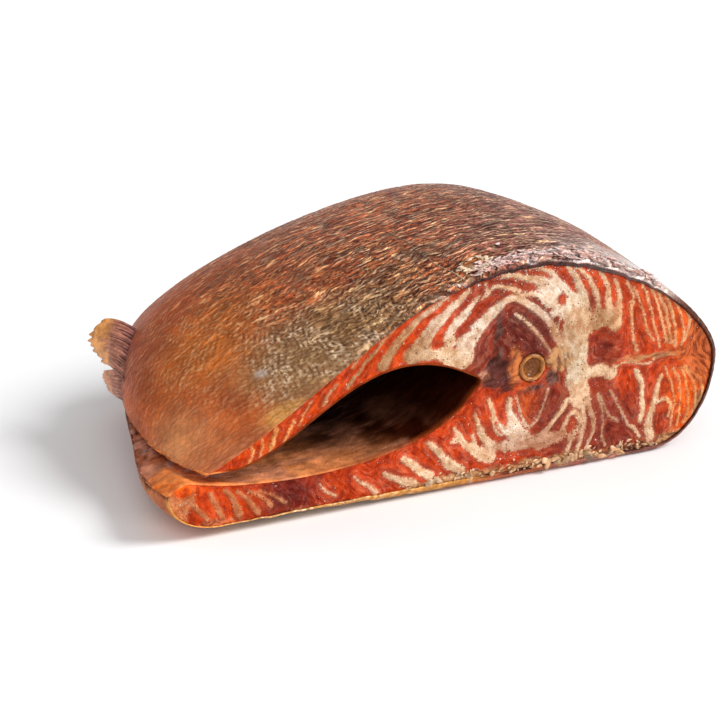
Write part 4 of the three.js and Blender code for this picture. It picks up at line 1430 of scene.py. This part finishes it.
def build_backbone(material):
    """A vertebra's dished end at each cut, ringed like a tree."""
    profile = BONE_END + BONE_ROD + [(r, LENGTH - y) for r, y in BONE_END[::-1]]
    turn = np.arange(BONE_AROUND) * 2 * math.pi / BONE_AROUND
    places, tones = [], []
    for r, y in profile[1:-1]:
        wobble = 1 + 0.05 * fractal(3 * np.cos(turn), 3 * np.sin(turn) + r, 1.5, 2, 81) * min(r / 3, 1)
        x, z = BONE[0] + r * wobble * np.cos(turn), BONE[1] + r * wobble * np.sin(turn)
        inwards = -1 if y > LENGTH / 2 else 1
        dent = 0.12 * fractal(x, z, 1.2, 2, 82) * (abs(y - LENGTH / 2) > 58)
        places.append(np.stack([x, np.full(BONE_AROUND, y) + inwards * dent, z], axis=1))
        tone = linear(BONE_TONES["honey"]) * np.ones((BONE_AROUND, 3))
        radius = np.full(BONE_AROUND, r)
        tone += towards(tone, between(radius, 3.3, 3.9), BONE_TONES["pale"])
        tone += towards(tone, between(radius, 4.7, 5.2), BONE_TONES["ash"])
        ring = 0.5 + 0.5 * np.cos(r * 5.2)
        tone += towards(tone, 0.5 * ring * (r < 3.4) * np.ones(BONE_AROUND), BONE_TONES["bark"])
        tones.append(tone)
    # Rings from cut to cut, each closed with a fan round its middle.
    faces = [f[1:] + f[:1] for f in hoop_faces(len(places), BONE_AROUND)]
    near_middle, last = len(places) * BONE_AROUND, (len(places) - 1) * BONE_AROUND
    for k in range(BONE_AROUND):
        n = (k + 1) % BONE_AROUND
        faces += [(k, n, near_middle), (last + n, last + k, near_middle + 1)]
    places += [[[BONE[0], y, BONE[1]]] for y in (profile[0][1], profile[-1][1])]
    tones.append(np.tile(linear(BONE_TONES["amber"]), (2, 1)))
    mesh = mesh_of("vertebra", np.concatenate(places), faces, {"tone": np.concatenate(tones)})
    show("vertebra", mesh, material, "backbone")


# ---- Pelvic fins ---------------------------------------------------------------------------

# For each fin: root, bend and tip of its first and last ray, [x, y, z], how many rays it has, how
# torn it is, how far its edge bulges, and how golden its tip is.
FINS = [
    (
        ((-113.5, 95, 41), (-126.2, 66, 30.5)), ((-120, 96, 46.2), (-127.2, 82, 33.8)),
        ((-123.2, 102, 43.6), (-127.3, 92, 30.2)), 10, 1.6, 10.0, 1.0,
    ),
    (
        ((-124.8, 76, 33.4), (-126.2, 62, 25)), ((-127.6, 81, 32.2), (-129.3, 73, 24.6)),
        ((-127.6, 90, 28.4), (-128, 86, 22.6)), 8, 1.6, 1.2, 0.35,
    ),
]
FIN_TONES = {
    "tip": (240, 166, 92), "web": (206, 138, 112), "root": (160, 98, 88), "ray": (78, 34, 38),
    "edge": (196, 116, 76),
}
# Points along a ray, and mesh steps of a web from ray to ray and along them.
RAY_POINTS = 18
WEB_STEPS = (8, 30)


def fin_frame(fin):
    root, bend, tip = (np.array(pair, float) for pair in fin[:3])
    face = np.cross(tip[1] - tip[0], tip.mean(0) - root.mean(0))
    return root, bend, tip, face / np.linalg.norm(face)


def fin_point(fin, a, b):
    """Places on a fin's middle sheet at share a across and b from root to tip."""
    root, bend, tip, face = fin_frame(fin)
    rays, torn, bulge = fin[3:6]
    a, b = np.asarray(a, float)[..., None], np.asarray(b, float)[..., None]
    spread = lambda pair: pair[0] * (1 - a) + pair[1] * a
    out = spread(tip) - spread(bend)
    out = out / np.linalg.norm(out, axis=-1, keepdims=True)
    tatter = np.sin(a * rays * 4.8) * 0.6 + 0.9 * noise(a * rays, 0 * a, 0.55, 91) - 0.5
    reach = bulge * np.sin(math.pi * a) + torn * tatter
    end = spread(tip) + out * reach
    place = spread(root) * (1 - b) ** 2 + 2 * spread(bend) * b * (1 - b) + end * b * b
    return place + face * (0.5 * np.sin(a * 5 + b * 3) * b)


def build_fin_webs(material):
    places, faces, tones, total = [], [], [], 0
    for fin in FINS:
        face = fin_frame(fin)[3]
        rays, golden = fin[3], fin[6]
        across, along = rays * WEB_STEPS[0], WEB_STEPS[1]
        a, b = np.meshgrid(np.linspace(0, 1, across + 1), np.linspace(0, 1, along + 1), indexing="ij")
        sheet = fin_point(fin, a, b)
        ray = 0.5 + 0.5 * np.cos(2 * math.pi * a * rays)
        thick = (0.22 + 0.16 * ray) * (1 - 0.6 * b)
        ripple = 0.18 * fractal(a * 30, b * 24, 4, 2, 92)
        top = sheet + face * (thick + ripple)[..., None]
        low = sheet - face * (thick - ripple)[..., None]
        ring = np.concatenate([top, low[:, ::-1]], axis=1)
        places.append(ring.reshape(-1, 3))
        size = 2 * (along + 1)
        faces += (np.array(hoop_faces(across + 1, size)) + total).tolist()
        for column, turn in ((0, 1), (across, -1)):
            base = total + column * size
            for k in range(along):
                quad = (base + k, base + k + 1, base + size - 2 - k, base + size - 1 - k)
                faces.append(quad[::turn])
        tone = np.empty(a.shape + (3,))
        tone[:] = linear(FIN_TONES["web"])
        mix = lambda share, name: towards(tone, share, FIN_TONES[name])
        tone += mix(fade(b, 0.0, 0.35), "root")
        tone += mix(golden * between(b + 0.12 * noise(a * 9, b * 3, 0.8, 93), 0.5, 0.74), "tip")
        tone += mix(0.6 * ray * fade(b, 0.35, 0.75), "ray")
        tone += mix(between(b, 0.95, 1.0) * 0.6, "edge")
        tones.append(np.concatenate([tone, tone[:, ::-1]], axis=1).reshape(-1, 3))
        total += len(places[-1])
    mesh = mesh_of("fin_webs", np.concatenate(places), faces, {"tone": np.concatenate(tones)})
    show("fin_webs", mesh, material)


# ---- Grown pieces: rays, curds and lifted scales -------------------------------------------


class Growing(Wiring):
    """Adds nodes to a geometry tree that grows things on a carrier mesh."""

    def __init__(self, name, inputs):
        super().__init__(bpy.data.node_groups.new(name, "GeometryNodeTree"))
        face = self.tree.interface
        face.new_socket("Geometry", in_out="INPUT", socket_type="NodeSocketGeometry")
        for label, kind, value in inputs:
            face.new_socket(label, in_out="INPUT", socket_type=kind).default_value = value
        face.new_socket("Finish", in_out="INPUT", socket_type="NodeSocketMaterial")
        face.new_socket("Geometry", in_out="OUTPUT", socket_type="NodeSocketGeometry")
        self.given = self.node("NodeGroupInput").outputs
        self.out = self.node("NodeGroupOutput").inputs

    def step(self, kind, values, **settings):
        return self.fed(self.node(kind, **settings), values)

    def named(self, name, kind="FLOAT"):
        values = {"Name": name}
        return self.step("GeometryNodeInputNamedAttribute", values, data_type=kind)["Attribute"]

    def scaled(self, vector, factor):
        values = {0: vector, "Scale": factor}
        return self.step("ShaderNodeVectorMath", values, operation="SCALE")[0]

    def finish(self, geometry):
        real = self.step("GeometryNodeRealizeInstances", {"Geometry": geometry})[0]
        values = {"Geometry": real, "Material": self.given["Finish"]}
        self.put(self.out["Geometry"], self.step("GeometryNodeSetMaterial", values)[0])
        return self.tree


def grow(name, carrier, tree, values, material):
    """Grows a piece on a carrier mesh and keeps the result as a plain mesh."""
    seed_bed = bpy.data.objects.new(name + "_bed", carrier)
    bpy.context.scene.collection.objects.link(seed_bed)
    growth = seed_bed.modifiers.new("Growth", "NODES")
    growth.node_group = tree
    values = {**values, "Finish": material}
    for item in tree.interface.items_tree:
        if item.item_type == "SOCKET" and item.in_out == "INPUT" and item.name in values:
            growth[item.identifier] = values[item.name]
    ready = bpy.context.evaluated_depsgraph_get()
    grown_bed = seed_bed.evaluated_get(ready)
    mesh = bpy.data.meshes.new_from_object(grown_bed, preserve_all_data_layers=True, depsgraph=ready)
    bpy.data.objects.remove(seed_bed)
    if not mesh.polygons:
        raise RuntimeError(name + " grew nothing")
    smooth_over(mesh)
    show(name, mesh, material)


def ray_tree():
    """Tubes that follow the carrier's lines, thinner where the taper says."""
    g = Growing("Fin Rays", [("Radius", "NodeSocketFloat", 0.0004)])
    line = g.step("GeometryNodeMeshToCurve", {"Mesh": g.given["Geometry"]})[0]
    circle = g.step("GeometryNodeCurvePrimitiveCircle", {"Resolution": 7, "Radius": 1.0})["Curve"]
    size = g.math("MULTIPLY", g.named("taper"), g.given["Radius"])
    values = {"Curve": line, "Profile Curve": circle, "Scale": size, "Fill Caps": True}
    return g.finish(g.step("GeometryNodeCurveToMesh", values)[0])


def grow_rays(sizes, material):
    points, edges, taper, tones = [], [], [], []
    for fin in FINS:
        face = fin_frame(fin)[3]
        for k in range(fin[3]):
            a = (k + 0.5 + 0.2 * math.sin(k * 2.1)) / fin[3]
            b = np.linspace(0.02, 0.86 + 0.1 * math.sin(k * 3.3), RAY_POINTS)
            line = fin_point(fin, np.full(RAY_POINTS, a), b) + face * 0.16
            edges += [(len(points) + i, len(points) + i + 1) for i in range(RAY_POINTS - 1)]
            points += line.tolist()
            taper += (1 - 0.75 * b).tolist()
            dark, tip = linear(FIN_TONES["ray"]), linear(FIN_TONES["tip"])
            tones += [(dark + float(between(v, 0.5, 0.85)) * (tip - dark)).tolist() for v in b]
    bed = bare_mesh("ray_lines", points, edges, [], {"taper": taper, "tone": tones})
    grow("fin_rays", bed, ray_tree(), {"Radius": sizes.fin_ray}, material)


def scatter_tree(name, flat, cup, least, most):
    """Small uneven bodies set on the carrier's points, turned by its directions."""
    g = Growing(name, [("Size", "NodeSocketFloat", 0.001), ("Seed", "NodeSocketInt", 1)])
    ball = g.step("GeometryNodeMeshUVSphere", {"Segments": 8, "Rings": 5, "Radius": 1.0})["Mesh"]
    place = g.node("GeometryNodeInputPosition").outputs[0]
    # The ball swells unevenly, is pressed flat, and is cupped.
    place = g.scaled(place, g.math("MULTIPLY_ADD", g.cloud(place, 1.4, 1.0), 1.6, 0.2))
    x, y, z = g.split(place)
    bowl = g.plus(g.times(x, x), g.times(y, y))
    lift = g.math("MULTIPLY_ADD", bowl, cup, 0.0)
    moved = g.join(x, y, g.math("MULTIPLY_ADD", z, flat, lift))
    body = g.step("GeometryNodeSetPosition", {"Geometry": ball, "Position": moved})[0]
    turn = "FunctionNodeAlignRotationToVector"
    upright = g.step(turn, {"Vector": g.named("out", "FLOAT_VECTOR")}, axis="Z")[0]
    values = {"Rotation": upright, "Vector": g.named("along", "FLOAT_VECTOR")}
    turned = g.step(turn, values, axis="Y", pivot_axis="Z")[0]
    values = {"Min": least, "Max": most, "Seed": g.given["Seed"]}
    vary = g.step("FunctionNodeRandomValue", values, data_type="FLOAT_VECTOR")["Value"]
    size = g.scaled(g.scaled(vary, g.named("share")), g.given["Size"])
    points = g.step("GeometryNodeMeshToPoints", {"Mesh": g.given["Geometry"]})[0]
    values = {"Points": points, "Instance": body, "Rotation": turned, "Scale": size}
    return g.finish(g.step("GeometryNodeInstanceOnPoints", values)[0])


# How many curds are tried over the cut, and how many more along its lower edge.
CURD_TRIES, LOW_CURD_TRIES = 4200, 300


def grow_curds(sizes, material):
    """Curds of set juice on the cut, thick along its lower edge and thin over the seams."""
    rng = np.random.default_rng(11)
    x = np.concatenate([rng.uniform(-128, 60, CURD_TRIES), rng.uniform(-60, 56, LOW_CURD_TRIES)])
    z = np.concatenate([rng.uniform(0.5, 74, CURD_TRIES), rng.uniform(0.6, 6.5, LOW_CURD_TRIES)])
    depth = fat_depth(x, z)
    low = between(-z, -7.5, -2.5) * between(x, -70, -40) * fade(x, 46, 58)
    seam = 0.16 * between(depth, -0.6, 0.4) * fade(depth, 1.0, 2.0)
    keep = rng.uniform(0, 1, len(x)) < np.maximum(low * 0.9, seam)
    loop = cut_loop(0.0, sizes)
    keep &= np.array([np.count_nonzero(crossings(loop, pz) > px) % 2 == 1 for px, pz in zip(x, z)])
    x, z, depth, low = x[keep], z[keep], depth[keep], low[keep]
    count = len(x)
    cover, _ = stain_cover(x, z)
    y = CUT_SET_BACK + cut_relief(x, z, depth, cover, sizes) - 0.05
    share = rng.uniform(0.3, 0.6, count)
    share = share + 2.1 * low * (1 - 0.6 * between(x, 20, 50)) * rng.uniform(0, 1, count) ** 2.5
    tone = blend(x, z, "cream", FAT_ZONES, TONES)
    brown = linear(TONES["curd"]) * rng.uniform(0.25, 1.5, (count, 1))
    tone = tone + (low * 0.85)[:, None] * (brown - tone)
    out = np.stack([rng.normal(0, 0.4, count), np.full(count, -1.0), rng.normal(0, 0.4, count)], axis=1)
    along = rng.normal(0, 0.35, (count, 3)) + np.array([1.0, 0, 0.2])
    layers = {"out": out, "along": along, "share": share, "tone": tone}
    bed = bare_mesh("curd_places", np.stack([x, y, z], axis=1), [], [], layers)
    tree = scatter_tree("Albumin Curds", 0.5, 0.0, (0.6, 0.9, 0.7), (1.2, 2.2, 1.2))
    grow("albumin_curds", bed, tree, {"Size": sizes.curd, "Seed": 4}, material)


# Where flakes stand up: arc from and to, reach from the cut, how many, how long. More of them
# stand round the torn patch.
FLAKE_SPOTS = [(128, 206, 2.8, 360, 0.8), (84, 128, 1.6, 50, 0.55), (148, 206, 2.4, 60, 1.5)]
PATCH_FLAKES = 70
FLAKE_TONES = {
    "pink": (222, 168, 156), "pearl": (252, 244, 240), "straw": (226, 168, 128), "cream": (250, 226, 196),
}
THREAD_POINTS = 60
THREAD_TONE = (214, 184, 156)


def grow_lifted_scales(sizes, material):
    """Flakes of skin that peel off where the knife went through, and round a torn patch."""
    rng = np.random.default_rng(23)
    arc, y, share = [], [], []
    for low, high, reach, count, long in FLAKE_SPOTS:
        arc.append(rng.uniform(low, high, count))
        y.append(np.minimum(rng.gamma(1.5, reach / 1.9, count), 15) + 0.3)
        share.append(long * rng.uniform(0.25, 0.62, count))
    at_arc, at_y, arc_reach, y_reach = TORN_PATCH
    turn = rng.uniform(0, 2 * math.pi, PATCH_FLAKES)
    arc.append(at_arc + arc_reach * np.cos(turn) * rng.uniform(0.8, 1.1, PATCH_FLAKES))
    y.append(np.maximum(at_y + y_reach * np.sin(turn) * rng.uniform(0.8, 1.1, PATCH_FLAKES), 0.5))
    share.append(rng.uniform(0.2, 0.42, PATCH_FLAKES))
    arc, y, share = (np.concatenate(parts) for parts in (arc, y, share))
    count = len(arc)
    points, outs = on_skin(arc, y, sizes)
    round_body = np.stack([outs[:, 2], np.zeros(count), -outs[:, 0]], axis=1)
    lift = rng.uniform(0.05, 0.5, (count, 1))
    out = outs + np.array([0, -0.7, 0]) * lift + rng.normal(0, 0.14, (count, 3))
    along = round_body + rng.normal(0, 0.35, (count, 3))
    pink, pearl, straw, cream = (linear(rgb) for rgb in FLAKE_TONES.values())
    tone = pink + rng.uniform(0, 1, (count, 1)) * (pearl - pink)
    tone = np.where(arc[:, None] > 124, tone, 0.5 * straw)
    tone[-PATCH_FLAKES:] = cream
    layers = {"out": out, "along": along, "share": share, "tone": tone}
    bed = bare_mesh("scale_places", points + outs * 0.05, [], [], layers)
    tree = scatter_tree("Lifted Scales", 0.08, 0.2, (0.3, 0.6, 0.8), (0.7, 1.5, 1.3))
    grow("lifted_scales", bed, tree, {"Size": sizes.lifted_scale, "Seed": 9}, material)


def grow_thread(sizes, material):
    """A pale thread of skin that lies over the flank and ends thicker by the near cut."""
    t = np.linspace(0, 1, THREAD_POINTS)
    arc = 116.9 + 4.1 * t + 0.9 * np.sin(7 * t) + 0.3 * np.sin(23 * t)
    points, outs = on_skin(arc, 53.5 - 52.5 * t, sizes)
    taper = 0.6 + 0.3 * np.sin(40 * t) ** 2 + 1.4 * between(t, 0.86, 0.96)
    tone = linear(THREAD_TONE) * (0.4 + 0.6 * between(t, 0.5, 0.9))[:, None]
    edges = [(k, k + 1) for k in range(THREAD_POINTS - 1)]
    bed = bare_mesh("thread_line", points + outs * 0.08, edges, [], {"taper": taper, "tone": tone})
    grow("skin_thread", bed, ray_tree(), {"Radius": sizes.thread}, material)


# ---- Stage ---------------------------------------------------------------------------------


# Lamps: name, where it stands, strength and width in degrees.
LAMPS = [
    ("key_softbox", (0.8, -0.43, 0.76), 2.7, 28),
    ("front_softbox", (-0.35, -0.9, 0.75), 0.45, 40),
    ("low_softbox", (0.35, -0.9, 0.24), 0.45, 12),
]
# Half the floor's side and its level, in metres, and the strength of the light from all round.
FLOOR_HALF, FLOOR_LEVEL, SKY_STRENGTH = 7.0, -0.0002, 0.52
# The camera: its working place, its turn in degrees, its lens and its film in mm.
CAMERA_PLACE, CAMERA_TURN, CAMERA_LENS, CAMERA_FILM = (-328.2, -558.3, 283.9), (69.5, 0, -25), 100, 36


def build_stage():
    mesh = bpy.data.meshes.new("studio_floor")
    corners = [(-1, -1), (1, -1), (1, 1), (-1, 1)]
    mesh.from_pydata([(FLOOR_HALF * x, FLOOR_HALF * y, FLOOR_LEVEL) for x, y in corners], [], [(0, 1, 2, 3)])
    floor = bpy.data.objects.new("studio_floor", mesh)
    bpy.context.scene.collection.objects.link(floor)
    material, w, shader = new_finish("White paper", Roughness=0.7)
    w.put(shader["Base Color"], w.mix(w.noise(300.0, 2.0), (0.93, 0.93, 0.935), (0.95, 0.95, 0.955)))
    mesh.materials.append(material)

    world = bpy.data.worlds.new("Studio")
    world.use_nodes = True
    sky = world.node_tree.nodes["Background"].inputs
    sky["Color"].default_value = (1.0, 1.0, 1.0, 1)
    sky["Strength"].default_value = SKY_STRENGTH
    bpy.context.scene.world = world

    for name, (x, y, z), strength, width in LAMPS:
        light = bpy.data.lights.new(name, "SUN")
        light.energy, light.angle = strength, math.radians(width)
        lamp = bpy.data.objects.new(name, light)
        lamp.rotation_euler = (math.atan2(math.hypot(x, y), z), 0, math.atan2(x, -y))
        bpy.context.scene.collection.objects.link(lamp)

    lens = bpy.data.cameras.new("camera")
    lens.lens, lens.sensor_width = CAMERA_LENS, CAMERA_FILM
    lens.clip_end = 100
    camera = bpy.data.objects.new("camera", lens)
    camera.location = np.array(CAMERA_PLACE) / 1000 + SHIFT
    camera.rotation_euler = [math.radians(angle) for angle in CAMERA_TURN]
    bpy.context.scene.collection.objects.link(camera)
    bpy.context.scene.camera = camera
    bpy.context.scene.view_settings.view_transform = "Standard"


# ---- The add-on ----------------------------------------------------------------------------

SHARED = {}


def grain():
    """The grain group, which all moist finishes share."""
    if not SHARED:
        SHARED["grain"] = juicy_grain()
    return SHARED["grain"]


class FISH_OT_stage(bpy.types.Operator):
    """White floor, soft lights and the camera"""

    bl_idname = "fish.stage"
    bl_label = "Stage"

    def execute(self, context):
        build_stage()
        return {"FINISHED"}


class FISH_OT_skin(bpy.types.Operator):
    """Smoked skin with its scales and grooves"""

    bl_idname = "fish.skin"
    bl_label = "Skin"

    def execute(self, context):
        sizes, colours = context.scene.fish_sizes, context.scene.fish_colours
        build_skin(sizes, colours, skin_finish(grain(), scale_rows(), strands(), sizes, colours))
        return {"FINISHED"}


class FISH_OT_flesh(bpy.types.Operator):
    """Marbled flesh between skin and cavity, with both cuts"""

    bl_idname = "fish.flesh"
    bl_label = "Flesh"

    def execute(self, context):
        build_flesh(context.scene.fish_sizes, flesh_finish(grain()))
        return {"FINISHED"}


class FISH_OT_lining(bpy.types.Operator):
    """Dark lining of the belly cavity"""

    bl_idname = "fish.lining"
    bl_label = "Lining"

    def execute(self, context):
        finish = plain_finish("Belly lining", grain(), 0.52, None, 0.8, 5, 0.35, shine=0.0)
        build_lining(context.scene.fish_sizes, finish)
        return {"FINISHED"}


class FISH_OT_backbone(bpy.types.Operator):
    """Vertebra that shows in both cuts"""

    bl_idname = "fish.backbone"
    bl_label = "Backbone"

    def execute(self, context):
        build_backbone(plain_finish("Wet bone", grain(), 0.25, 0.35, 0.5, 2, 0.4, gleam=(1.0, 0.7, 0.4)))
        return {"FINISHED"}


class FISH_OT_fins(bpy.types.Operator):
    """Pelvic fins: webs and rays"""

    bl_idname = "fish.fins"
    bl_label = "Pelvic Fins"

    def execute(self, context):
        finish = plain_finish("Dried fin", grain(), 0.45, 0.1, 0.4, 3, 0.1)
        build_fin_webs(finish)
        grow_rays(context.scene.fish_sizes, finish)
        return {"FINISHED"}


class FISH_OT_curds(bpy.types.Operator):
    """Curds of set juice on the near cut"""

    bl_idname = "fish.curds"
    bl_label = "Curds"

    def execute(self, context):
        finish = plain_finish("Set juice", grain(), 0.4, 0.3, 0.3, 1.5, 0.1)
        grow_curds(context.scene.fish_sizes, finish)
        return {"FINISHED"}


class FISH_OT_lifted_scales(bpy.types.Operator):
    """Scales that peel off along the near cut"""

    bl_idname = "fish.lifted_scales"
    bl_label = "Lifted Scales"

    def execute(self, context):
        finish = plain_finish("Loose scale", grain(), 0.35, 0.25, 0.3, 2, 0.05, shine=0.2)
        grow_lifted_scales(context.scene.fish_sizes, finish)
        grow_thread(context.scene.fish_sizes, finish)
        return {"FINISHED"}


STEPS = ("skin", "flesh", "lining", "backbone", "fins", "curds", "lifted_scales", "stage")


class FISH_PT_panel(bpy.types.Panel):
    """Lists the pieces of the smoked fish"""

    bl_label = "Smoked Fish"
    bl_idname = "FISH_PT_panel"
    bl_space_type = "VIEW_3D"
    bl_region_type = "UI"
    bl_category = "Smoked Fish"

    def draw(self, context):
        for step in STEPS:
            self.layout.operator("fish." + step)
        for group in (context.scene.fish_sizes, context.scene.fish_colours):
            for name in group.bl_rna.properties.keys():
                if name not in ("rna_type", "name"):
                    self.layout.prop(group, name)


CLASSES = (
    FishSizes, FishColours, FISH_OT_stage, FISH_OT_skin, FISH_OT_flesh, FISH_OT_lining, FISH_OT_backbone,
    FISH_OT_fins, FISH_OT_curds, FISH_OT_lifted_scales, FISH_PT_panel,
)


def register():
    for cls in CLASSES:
        bpy.utils.register_class(cls)
    bpy.types.Scene.fish_sizes = bpy.props.PointerProperty(type=FishSizes)
    bpy.types.Scene.fish_colours = bpy.props.PointerProperty(type=FishColours)


def unregister():
    del bpy.types.Scene.fish_sizes
    del bpy.types.Scene.fish_colours
    for cls in reversed(CLASSES):
        bpy.utils.unregister_class(cls)


def main():
    register()
    for step in STEPS:
        getattr(bpy.ops.fish, step)()


if __name__ == "__main__":
    main()
